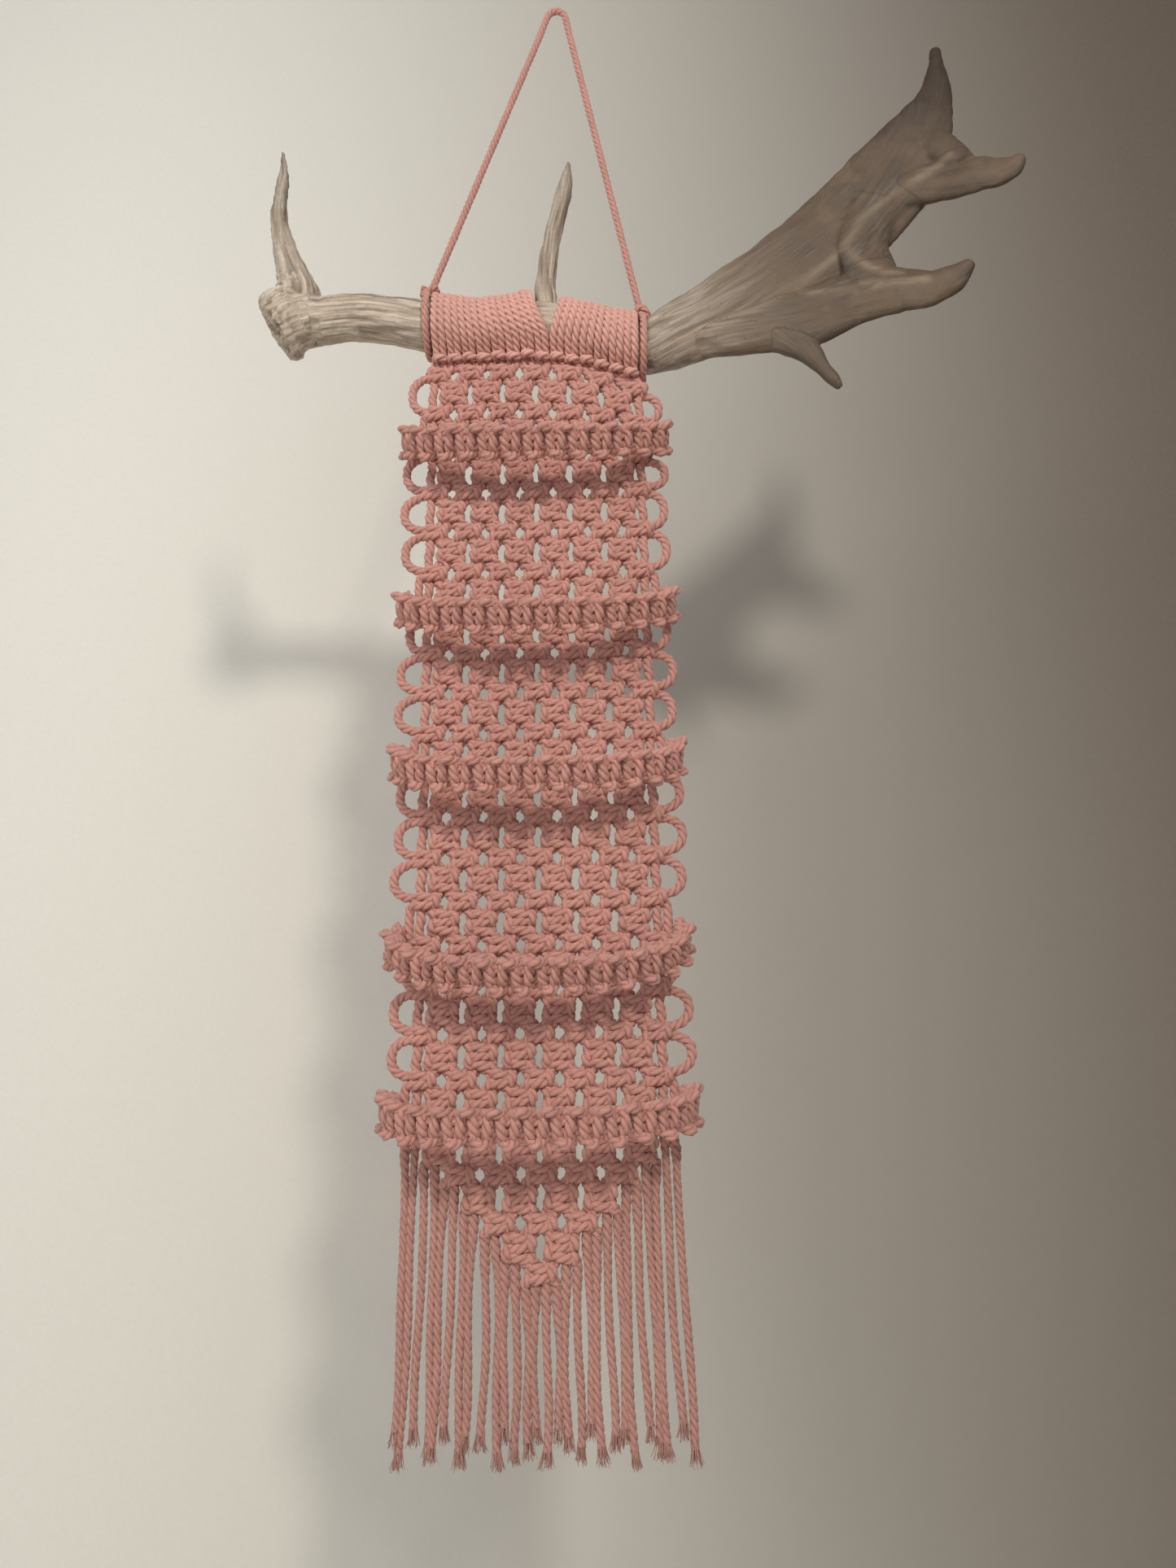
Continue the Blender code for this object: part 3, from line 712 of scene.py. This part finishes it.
def frayed_end(line, seed):
    """Loose yarns that spread a little from the cut end of a cord."""
    random = np.random.default_rng(seed)
    start = line[-FRAY_RINGS - 3]
    along = line[-1] - start
    length = np.linalg.norm(along)
    along = along / length
    across = np.array([1.0, 0.0, 0.0])
    across -= along * (across @ along)
    across /= np.linalg.norm(across)
    depth = np.cross(along, across)
    parts = []
    for _ in range(FRAY_YARNS):
        turn = random.uniform(0, 2 * math.pi)
        inner = FRAY_HALF * math.sqrt(random.uniform(0.02, 1))
        outer = inner + random.uniform(0.0004, 0.0022) * (0.4 + inner / FRAY_HALF)
        reach = length * random.uniform(0.78, 1.04)
        way = across * math.cos(turn) + depth * math.sin(turn)
        twist = across * math.cos(turn + 1.6) + depth * math.sin(turn + 1.6)
        curl = random.uniform(-0.0009, 0.0009)
        rings = []
        for step in range(YARN_STEPS):
            share = step / (YARN_STEPS - 1)
            out = inner + (outer - inner) * share**1.6
            centre = start + along * reach * share + way * out + twist * curl * math.sin(share * 3.5)
            half = YARN_HALF * (1 - 0.65 * share)
            sides = [across, depth, -across, -depth]
            rings.append([centre + side * half for side in sides])
        skin = np.array(rings)
        offsets = np.array([[side[0], side[1], 0.0] for side in sides]) * 0.0004
        run = np.linspace(0, reach, YARN_STEPS)[:, None, None] * np.array([0.0, 0.0, 1.0])
        fibre = offsets[None] + run + random.uniform(0, 1, 3) * 0.01
        parts.append((skin, fibre, np.full(skin.shape[:2], 0.8), random.uniform(0.2, 1.0)))
    return parts


def panel_swell(run, end):
    """Cords that are tied into knots bulge; past the end of the panel they are their plain size."""
    share = np.clip((end - run) / 0.006 + 0.5, 0, 1)
    return FRINGE_FULL + (KNOTTED_CORD / CORD - FRINGE_FULL) * share


def make_panel(look, fringe_look):
    """The knotted panel in pieces, one for each stretch of rows up to a fold, and the fringe as single
    cords.
    """
    routes, starts, fringe, occupant = panel_routes()
    cords = {}
    for strand, route in routes.items():
        knotted = smooth_line(route)[1][fringe[strand]] * RING_EVERY
        cords[strand] = Cord(route, CORD, strand, swell=lambda run, end=knotted: panel_swell(run, end))
    first = 0
    for number, (above, below, height, last) in enumerate(PANEL_PIECES, 1):
        parts = []
        for strand, cord in cords.items():
            rows = starts[strand]
            if first not in rows:
                continue
            begin = cord.marks[rows[first]] if first else 0
            finish = cord.marks[rows[last + 1]] if last + 1 in rows else cord.marks[fringe[strand]]
            parts.append(cord.part(begin, finish))
        piece = cord_mesh(f"panel_{number}", parts, look)
        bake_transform(piece)
        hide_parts(f"panel_section_{number}" if number < len(PANEL_PIECES) else "panel_point")
        first = last + 1
    for column in range(1, FRINGE_COUNT + 1):
        strand = occupant[column]
        cord = cords[strand]
        begin = cord.marks[fringe[strand]]
        line = cord.line[begin:]
        parts = [cord.part(begin, len(cord.line) - 1 - FRAY_RINGS)] + frayed_end(line, column)
        thing = cord_mesh(f"fringe_{column:02d}", parts, fringe_look)
        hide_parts(f"fringe_cord_{column:02d}")
        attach(thing, "tail")


# ---------------------------------------------------------------- wraps over the antler


def wrap_limits():
    """(x at the top, half pitch at the top, x of the bar) of each lark's head, left to right."""
    bar_pitch = 2 * WRAPS_BAR / (LEFT_COUNT + RIGHT_COUNT)
    groups = ((0, LEFT_COUNT, LEFT_WRAPS_TOP), (LEFT_COUNT, RIGHT_COUNT, RIGHT_WRAPS_TOP))
    limits = []
    for first, count, (start, end) in groups:
        pitch = (end - start) / count
        for index in range(count):
            bar = (first + index + 0.5) * bar_pitch - WRAPS_BAR
            limits.append((start + (index + 0.5) * pitch, pitch / 4, bar))
    return limits


def round_beam(x, turn, out, climb=0.0):
    """A point round the beam: turn 0 is below it, 90 in front of it and 180 on top."""
    height, half_height, half_depth = beam_at(x)
    angle = math.radians(turn)
    up = half_height + out + climb * max(0, -math.cos(angle))
    return (PANEL_X + x, -(half_depth + out) * math.sin(angle), height - up * math.cos(angle))


def larks_head_route(top, offset, bar, lift):
    """One cord: behind the bar, up the front, over the beam, up from behind into the bar, and back."""
    out = 0.0006 + CORD * 0.45
    low = bar_height(bar) + lift
    climb = 0.0060 * math.exp(-(((top - 0.001) / 0.010) ** 2))
    even = WRAPS_BAR / (LEFT_COUNT + RIGHT_COUNT) / 2
    slide = ((40, 0.95), (55, 0.80), (72, 0.58), (92, 0.34), (115, 0.14), (140, 0.03), (180, 0.0))
    slide += ((225, 0.05), (260, 0.4))
    route = []
    for side in (-1, 1):
        strand = [(PANEL_X + bar + side * 0.0021, 0.0006, low - 0.0006)]
        strand.append((PANEL_X + bar + side * 0.0020, -0.0012, low + 0.0034))
        for turn, share in slide:
            x = (top + side * offset) * (1 - share) + (bar + side * even) * share
            strand.append(round_beam(x, turn, out, climb))
        strand.append(round_beam(bar + side * 0.0026, 305, out))
        strand.append((PANEL_X + bar + side * 0.0026, 0.0020, low + 0.0040))
        strand.append((PANEL_X + bar + side * 0.0026, -0.0034, low + 0.0008))
        strand.append((PANEL_X + bar + side * 0.0016, -0.0064, low))
        route += strand if side < 0 else strand[::-1]
    return route


def make_wraps(look):
    for number, (top, offset, bar) in enumerate(wrap_limits(), 1):
        lift = 0.0006 * math.sin(number * 2.9)
        cord = Cord(larks_head_route(top, offset, bar, lift), WRAPPED_CORD, 40 + number)
        piece = cord_mesh(f"wrap_{number:02d}", [cord.whole()], look)
        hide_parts(f"larks_head_{number:02d}")
        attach(piece, "antler")


# ---------------------------------------------------------------- hanging cord


def knot_centre(side):
    x = side * LOOP_X
    height, half_height, _ = beam_at(x)
    return Vector((PANEL_X + x, 0, height + half_height + TURN_GAP + CORD + KNOT_RISE))


def hanging_route():
    """From the left knot over the hook to the right knot: two straight legs and a bend."""
    hook = Vector((0, 0, -CORD / 2 - HOOK_RADIUS))
    ends = []
    for side in (-1, 1):
        knot = knot_centre(side)
        away = (hook - knot).normalized()
        square = Vector((away.z, 0, -away.x)) * side
        touch = hook + square * HOOK_RADIUS
        ends.append((knot + away * (KNOT_RADIUS + GAP), touch, math.atan2(square.z, square.x)))
    (left_start, left_touch, left_turn), (right_start, right_touch, right_turn) = ends
    legs = 12
    bend = 6
    route = [left_start.lerp(left_touch, step / legs) for step in range(legs)]
    for step in range(bend + 1):
        turn = left_turn + (right_turn - left_turn) * step / bend
        route.append(hook + Vector((math.cos(turn), 0, math.sin(turn))) * HOOK_RADIUS)
    route += [right_touch.lerp(right_start, (step + 1) / legs) for step in range(legs)]
    return [tuple(place) for place in route]


def hanger_knot_route(side):
    """A loop under the beam whose two ends meet in a small knot on top."""
    x = side * LOOP_X
    out = TURN_GAP + CORD * 0.46
    centre = knot_centre(side)
    around = [round_beam(x, turn, out) for turn in range(170, -160, -22)]
    size = KNOT_RADIUS * 0.80
    knot = []
    for step in range(15):
        turn = 2 * math.pi * step / 15 * 1.6 + 0.8
        knot.append(
            (
                centre.x + size * math.cos(turn) * 1.05,
                centre.y + size * math.sin(turn),
                centre.z + size * (0.62 * math.sin(turn * 1.5 + side)),
            )
        )
    return around[::-1] + knot


def make_hanging_cord(cord_look, knot_look):
    route = hanging_route()
    cord = Cord(route, CORD, 71)
    thing = cord_mesh("hanging_rope", [cord.whole()], cord_look)
    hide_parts("hanging_cord")
    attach(thing, "hanger")
    for name, side in (("left", -1), ("right", 1)):
        knot = Cord(hanger_knot_route(side), CORD * 0.95, 75 + side)
        piece = cord_mesh(f"hanger_tie_{name}", [knot.whole()], knot_look)
        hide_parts(f"hanger_knot_{name}")
        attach(piece, "hanger")


# ---------------------------------------------------------------- pocket bands


def band_line():
    """Dense (x, out) along a band's middle, and the run along it."""
    half = PANEL_HALF + TURN_GAP + BAND_THICK / 2
    reach = BAND_REACH - BAND_THICK / 2
    turn = np.linspace(0, math.pi, 721)
    x = -np.sign(np.cos(turn)) * np.abs(np.cos(turn)) ** (2 / BAND_SQUARENESS) * half
    out = np.abs(np.sin(turn)) ** (2 / BAND_SQUARENESS) * reach
    x = np.concatenate([[-half + 0.003], x, [half - 0.003]])
    out = np.concatenate([[-BAND_END_BACK], out, [-BAND_END_BACK]])
    run = np.concatenate([[0], np.cumsum(np.hypot(np.diff(x), np.diff(out)))])
    return x, out, run


BAND_KNOTS = 16
BAND_WIDE = 1.0


def band_strands(number):
    """Points (x, out, up) of the four strands of a band: half knots tied round two cords along it."""
    x, out, run = band_line()
    count = 2 * BAND_KNOTS
    pitch = run[-1] / count
    heights = [-(index + 0.5) * pitch for index in range(count)]
    ahead, behind = half_knots(heights, 1 if number % 2 else -1, BAND_WIDE, 1.0)
    fillers = []
    for side in (-1, 1):
        fillers.append([(side * FILLER_SIDE, 0.0, -run[-1] * step / 24) for step in range(25)])
    placed = []
    for role, points in enumerate((ahead, *fillers, behind)):
        strand = []
        for index, (across, front, up) in enumerate(points):
            along = min(max(-up, 0.0), run[-1])
            wobble = uneven(index, number * 5 + role, role)
            here = np.interp(along, run, x), np.interp(along, run, out)
            ahead_of = np.interp(along + 0.002, run, x), np.interp(along + 0.002, run, out)
            before = np.interp(along - 0.002, run, x), np.interp(along - 0.002, run, out)
            dx, dout = ahead_of[0] - before[0], ahead_of[1] - before[1]
            size = math.hypot(dx, dout)
            front = front * 0.95 + wobble * 0.5
            strand.append((here[0] - dout / size * front, here[1] + dx / size * front, across + wobble))
        placed.append(strand)
    return placed


def make_bands(look):
    for number, (height, angle) in enumerate(zip(BAND_Z, BAND_TILT), 1):
        tilt = math.radians(angle)
        parts = []
        for role, strand in enumerate(band_strands(number)):
            route = [
                (
                    PANEL_X + x,
                    -out * math.cos(tilt) - up * math.sin(tilt),
                    height - out * math.sin(tilt) + up * math.cos(tilt),
                )
                for x, out, up in strand
            ]
            parts.append(Cord(route, KNOTTED_CORD, number * 4 + role + 80).whole())
        piece = cord_mesh(f"band_{number}", parts, look)
        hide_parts(f"pocket_band_{number}")
        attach(piece, f"band_{number}")


# ---------------------------------------------------------------- antler

ANTLER_VOXEL = 0.0012
VEIN_HALF = 0.0030


def limb_line(route):
    """Dense centre points of a limb with its two half sizes."""
    table = np.array(route)
    table[:, 0] += PANEL_X
    line, marks = smooth_line(table[:, :3], 0.0025)
    at = np.arange(len(line))
    sizes = np.stack([np.interp(at, marks, table[:, column]) for column in (3, 4)], axis=1)
    return line, sizes


def limb_mesh(route, sides=28):
    """Points and faces of one closed limb with rounded ends."""
    line, sizes = limb_line(route)
    tangent = np.gradient(line, axis=0)
    tangent /= np.linalg.norm(tangent, axis=1)[:, None]
    depth = np.array([0.0, 1.0, 0.0])
    across = np.cross(depth, tangent)
    across /= np.linalg.norm(across, axis=1)[:, None]
    thick = np.cross(tangent, across)
    turn = np.arange(sides) * 2 * math.pi / sides
    skin = line[:, None]
    skin = skin + across[:, None] * (np.cos(turn)[None, :, None] * sizes[:, :1, None])
    skin = skin + thick[:, None] * (np.sin(turn)[None, :, None] * sizes[:, 1:, None])
    points = list(skin.reshape(-1, 3))
    faces = []
    for ring in range(len(line) - 1):
        for side in range(sides):
            other = (side + 1) % sides
            here, there = ring * sides, (ring + 1) * sides
            faces.append((here + side, here + other, there + other, there + side))
    faces.append(tuple(range(sides))[::-1])
    faces.append(tuple(range(len(points) - sides, len(points))))
    return points, faces


def grain_on_limbs(points):
    """For each point: across and along its nearest limb, as a vector that stretches along the grain."""
    best = np.full(len(points), 1e9)
    grain = np.zeros((len(points), 3))
    for number, route in enumerate(LIMBS):
        line, sizes = limb_line(route)
        distance = np.empty(len(points))
        index = np.empty(len(points), int)
        for start in range(0, len(points), 4000):
            chunk = points[start : start + 4000]
            away = np.linalg.norm(chunk[:, None] - line[None], axis=2)
            away = away / np.maximum(sizes[:, 0], 0.003)[None]
            index[start : start + 4000] = away.argmin(1)
            distance[start : start + 4000] = away.min(1)
        nearer = distance < best
        tangent = np.gradient(line, axis=0)
        tangent /= np.linalg.norm(tangent, axis=1)[:, None]
        offset = points - line[index]
        along = np.einsum("ij,ij->i", offset, tangent[index])
        flat = offset - tangent[index] * along[:, None]
        run = index * 0.0025 + along + number * 0.37
        value = np.stack([flat[:, 0] + flat[:, 2], flat[:, 1] + flat[:, 0] - flat[:, 2], run], axis=1)
        grain[nearer] = value[nearer]
        best = np.minimum(best, distance)
    return grain


def near_veins(points):
    """How close each point on the palm's front is to a vein, 0 to 1."""
    away = np.full(len(points), 1.0)
    for route in VEINS:
        corners = np.array([(x + PANEL_X, 0.0, z) for x, z in route])
        line, _ = smooth_line(corners, 0.002)
        for start in range(0, len(points), 4000):
            chunk = points[start : start + 4000, ::2]
            near = np.linalg.norm(chunk[:, None] - line[None, :, ::2], axis=2).min(1)
            away[start : start + 4000] = np.minimum(away[start : start + 4000], near)
    return np.exp(-((away / VEIN_HALF) ** 2))


def make_antler(look):
    """All limbs and webs merged into one skin and smoothed, then carved."""
    points, faces = [], []
    for route in LIMBS + WEBS:
        more, skins = limb_mesh(route)
        faces += [tuple(corner + len(points) for corner in face) for face in skins]
        points += more
    mesh = bpy.data.meshes.new("antler_bone")
    mesh.from_pydata([tuple(point) for point in points], [], faces)
    thing = add_object("antler_bone", mesh)
    remesh = thing.modifiers.new("remesh", "REMESH")
    remesh.mode = "VOXEL"
    remesh.voxel_size = ANTLER_VOXEL
    smooth = thing.modifiers.new("smooth", "SMOOTH")
    smooth.factor = 0.6
    smooth.iterations = 6
    graph = bpy.context.evaluated_depsgraph_get()
    shaped = bpy.data.meshes.new_from_object(thing.evaluated_get(graph))
    thing.modifiers.clear()
    thing.data = shaped
    carve_antler(shaped)
    shaped.shade_smooth()
    shaped.materials.clear()
    shaped.materials.append(look)
    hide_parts("antler")
    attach(thing, "antler")


def fractal(places, size, octaves=3):
    return np.array([noise.fractal(Vector(place) / size, 1.0, 2.0, octaves) for place in places])


def carve_antler(mesh):
    """Crags on the burr, grooves along the beam and tines, and a gentle unevenness everywhere."""
    count = len(mesh.vertices)
    places = np.empty(count * 3, np.float32)
    mesh.vertices.foreach_get("co", places)
    places = places.reshape(-1, 3).astype(float)
    normals = np.empty(count * 3, np.float32)
    mesh.vertices.foreach_get("normal", normals)
    normals = normals.reshape(-1, 3)
    grain = grain_on_limbs(places)
    x = places[:, 0] - PANEL_X
    z = places[:, 2]
    stretched = grain * np.array([1.0, 1.0, 0.10])
    groove = fractal(stretched, 0.0045, 2)
    broad = fractal(places, 0.022, 3)
    crag = fractal(places, 0.0052, 3)
    burr = np.exp(-(((x + 0.160) / 0.0075) ** 2)) * (z < -0.232)
    wrapped = (np.abs(x) < 0.070) & (z < -0.245)
    pearl = np.clip((-x - 0.080) / 0.05, 0, 1) * (x > -0.2)
    lift = 0.00035 * groove + 0.0012 * broad * (~wrapped) + burr * (0.0026 * crag + 0.0006)
    lift += pearl * 0.0005 * fractal(places, 0.0030, 2)
    vein = near_veins(places) * (normals[:, 1] < -0.3)
    lift += 0.0007 * vein
    lift = np.where(wrapped, np.minimum(lift, 0.0) * 0.4, lift)
    places += normals * lift[:, None]
    mesh.vertices.foreach_set("co", places.astype(np.float32).reshape(-1))
    mesh.update()
    put_attribute(mesh, "grain", "FLOAT_VECTOR", grain)
    # palm: darker towards the right, partly the palm's own brown and partly painted shade of light
    # falling off to the right.
    palm = 0.40 / (1 + np.exp(-(x - 0.066) / 0.004)) + 0.60 / (1 + np.exp(-(x - 0.120) / 0.018))
    # tip: darker towards the upper tine tips, partly their own dark colour and partly painted shade of
    # light falling off at the upper right.
    tip = np.clip((z + 0.205) / 0.10, 0, 1) * (x > 0.2)
    tip = tip + 0.35 * np.clip((z + 0.235) / 0.05, 0, 1) * (x < 0.1)
    put_attribute(mesh, "palm", "FLOAT", palm)
    put_attribute(mesh, "vein", "FLOAT", vein)
    put_attribute(mesh, "tip", "FLOAT", tip)
    put_attribute(mesh, "hollow", "FLOAT", np.clip(0.5 - (groove + burr * crag * 2), 0, 1))


PALE_BONE = colour(0.700, 0.610, 0.495)
TAN_BONE = colour(0.400, 0.315, 0.230)
# The palm's two browns: partly the bone's own colour, partly painted shade.
BROWN_BONE_AND_SHADE = colour(0.150, 0.105, 0.067)
DARK_BONE_AND_SHADE = colour(0.052, 0.034, 0.022)
STREAK = colour(0.105, 0.072, 0.046)
SPECK = colour(0.100, 0.066, 0.042)
VEIN = colour(0.330, 0.250, 0.170)
HOLLOW = colour(0.135, 0.090, 0.058)
# Near black of the upper tine tips: partly their own colour, partly painted shade.
TIP_DARK_AND_SHADE = colour(0.028, 0.018, 0.012)


def bone(name):
    """Weathered antler: tan beam with fine dark grooves, brown mottled palm with paler veins. The palm's
    darkness is partly its own brown and partly painted shade of light falling off to the right, and the
    upper tine tips darken the same way.
    """
    nodes = Nodes(name, 0.62)
    nodes.shader.inputs["Specular IOR Level"].default_value = 0.35
    grain = nodes.attribute("grain", "Vector")
    place = nodes.add("ShaderNodeTexCoord").outputs["Object"]
    streak = nodes.noise(nodes.scaled(grain, (420, 420, 26)), 1.0, 4.0, 0.6)
    fine = nodes.noise(nodes.scaled(grain, (1500, 1500, 110)), 1.0, 3.0, 0.6)
    cloud = nodes.noise(place, 38.0, 4.0, 0.55)
    speck = nodes.noise(place, 420.0, 3.0, 0.6)
    cream = nodes.mix(nodes.ramp(streak, 0.38, 0.66), TAN_BONE, PALE_BONE)
    brown = nodes.mix(nodes.ramp(cloud, 0.38, 0.62), DARK_BONE_AND_SHADE, BROWN_BONE_AND_SHADE)
    brown = nodes.mix(nodes.ramp(streak, 0.35, 0.7, 0.0, 0.55), brown, STREAK)
    palm = nodes.maths("ADD", nodes.attribute("palm"), nodes.ramp(cloud, 0.3, 0.7, -0.10, 0.10))
    surface = nodes.mix(nodes.ramp(palm, 0.0, 1.0), cream, brown)
    vein = nodes.maths("MULTIPLY", nodes.attribute("vein"), nodes.ramp(cloud, 0.3, 0.7, 0.25, 0.70))
    layers = (
        (vein, VEIN),
        (nodes.ramp(speck, 0.58, 0.75, 0.0, 0.45), SPECK),
        (nodes.ramp(nodes.attribute("hollow"), 0.45, 1.0, 0.0, 0.7), HOLLOW),
        (nodes.ramp(nodes.attribute("tip"), 0.0, 0.8, 0.0, 0.8), TIP_DARK_AND_SHADE),
    )
    for share, over in layers:
        surface = nodes.mix(share, surface, over)
    relief = nodes.bump(streak, 0.0008, 0.5)
    relief = nodes.bump(fine, 0.0004, 0.5, relief)
    return nodes.finish(surface, relief)


# ---------------------------------------------------------------- stage, light and camera

WALL_Y = 0.33  # clear of the fringe where every fold is at its lower limit
FLOOR_Z = -1.45


def wall_material():
    """Wall paint with painted light falloff, lighter at the left and dark brown towards the right. It
    isn't drawn from behind, so it hides no view.
    """
    nodes = Nodes("wall_paint_with_painted_falloff", 0.9)
    place = nodes.add("ShaderNodeTexCoord").outputs["Object"]
    parts = nodes.add("ShaderNodeSeparateXYZ", [("Vector", place)])
    # Painted light falloff: the wall's colour goes from near white at the left to dark brown at the
    # right.
    across = nodes.ramp(parts.outputs["X"], -0.51, 0.68, kind="SMOOTHSTEP")
    grit = nodes.noise(place, 260.0, 3.0)
    painted_falloff = nodes.mix(across, colour(0.86, 0.835, 0.745), colour(0.150, 0.118, 0.090))
    surface = nodes.mix(nodes.ramp(grit, 0.3, 0.7, 0.0, 0.05), painted_falloff, colour(0.4, 0.36, 0.3))
    relief = nodes.bump(grit, 0.0004, 0.25)
    nodes.finish(surface, relief)
    clear = nodes.add("ShaderNodeBsdfTransparent")
    back = nodes.add("ShaderNodeNewGeometry").outputs["Backfacing"]
    front = nodes.shader.outputs[0]
    both = nodes.add("ShaderNodeMixShader", [(0, back), (1, front), (2, clear.outputs[0])])
    output = next(node for node in nodes.tree.nodes if node.type == "OUTPUT_MATERIAL")
    nodes.tree.links.new(both.outputs[0], output.inputs["Surface"])
    return nodes.material


def floor_material():
    nodes = Nodes("floor_paint", 0.8)
    grit = nodes.noise(nodes.add("ShaderNodeTexCoord").outputs["Object"], 60.0, 3.0)
    share = nodes.ramp(grit, 0.3, 0.7, 0.0, 0.06)
    surface = nodes.mix(share, colour(0.72, 0.70, 0.65), colour(0.5, 0.48, 0.43))
    return nodes.finish(surface, nodes.bump(grit, 0.0004, 0.2))


def plane(name, corners, look):
    mesh = bpy.data.meshes.new(name)
    mesh.from_pydata(corners, [], [(0, 1, 2, 3)])
    mesh.materials.append(look)
    thing = add_object(name, mesh)
    thing.visible_shadow = False


def make_stage():
    wide, high = 2.2, 1.4
    left, right = (-wide, WALL_Y, FLOOR_Z), (wide, WALL_Y, FLOOR_Z)
    plane("wall", [left, right, (wide, WALL_Y, high), (-wide, WALL_Y, high)], wall_material())
    near_left, near_right = (-wide, -wide, FLOOR_Z), (wide, -wide, FLOOR_Z)
    plane("floor", [near_left, near_right, right, left], floor_material())


def area_light(name, place, target, size, power, tint):
    light = bpy.data.lights.new(name, "AREA")
    light.shape = "DISK"
    light.size = size
    light.energy = power
    light.color = tint
    thing = add_object(name, light)
    thing.location = place
    thing.rotation_euler = (Vector(target) - Vector(place)).to_track_quat("-Z", "Y").to_euler()


def make_lights():
    middle = (PANEL_X, 0, -0.45)
    area_light("key", (0.40, -1.45, 0.14), middle, 0.20, 13, (1.0, 0.95, 0.89))
    area_light("fill_left", (-1.0, -1.4, 0.1), middle, 1.2, 11.5, (0.98, 0.98, 1.0))
    area_light("front", (-0.4, -2.0, -0.8), middle, 1.4, 6, (1.0, 0.98, 0.96))
    area_light("back", (0.5, 1.9, 0.1), middle, 1.4, 9, (1.0, 0.98, 0.95))
    world = bpy.data.worlds.new("room")
    world.use_nodes = True
    background = world.node_tree.nodes["Background"]
    background.inputs["Color"].default_value = (0.95, 0.96, 1.0, 1.0)
    background.inputs["Strength"].default_value = 0.22
    bpy.context.scene.world = world
    bpy.context.scene.view_settings.view_transform = "Standard"


def make_camera():
    camera = bpy.data.cameras.new("camera")
    camera.lens = 26
    camera.sensor_width = 36
    camera.clip_start = 0.05
    thing = add_object("camera", camera)
    thing.location = (PANEL_X + 0.028, -0.607, -0.755)
    look = Euler((math.radians(90 + 16.8), 0, 0)).to_matrix().to_4x4()
    roll = Matrix.Rotation(math.radians(-1.1), 4, "Z")
    thing.rotation_euler = (look @ roll).to_euler()
    bpy.context.scene.camera = thing


PINK = (0.60, 0.300, 0.245)
# The fringe's pink is the same cotton made darker: painted shade where light falls off towards the
# bottom.
FRINGE_PINK_PAINTED_SHADE = (0.50, 0.262, 0.213)
# The wraps' pink is the same cotton made lighter: painted light from above.
WRAP_PINK_PAINTED_LIGHT = (0.74, 0.405, 0.335)

make_camera()
make_panel(cotton("panel_cotton", PINK), cotton("fringe_cotton_painted_shade", FRINGE_PINK_PAINTED_SHADE))
make_hanging_cord(cotton("hanger_cotton", PINK), cotton("knot_cotton", PINK))
make_wraps(cotton("wrap_cotton_painted_light", WRAP_PINK_PAINTED_LIGHT))
make_bands(cotton("band_cotton", PINK))
make_antler(bone("antler_bone"))
make_stage()
make_lights()
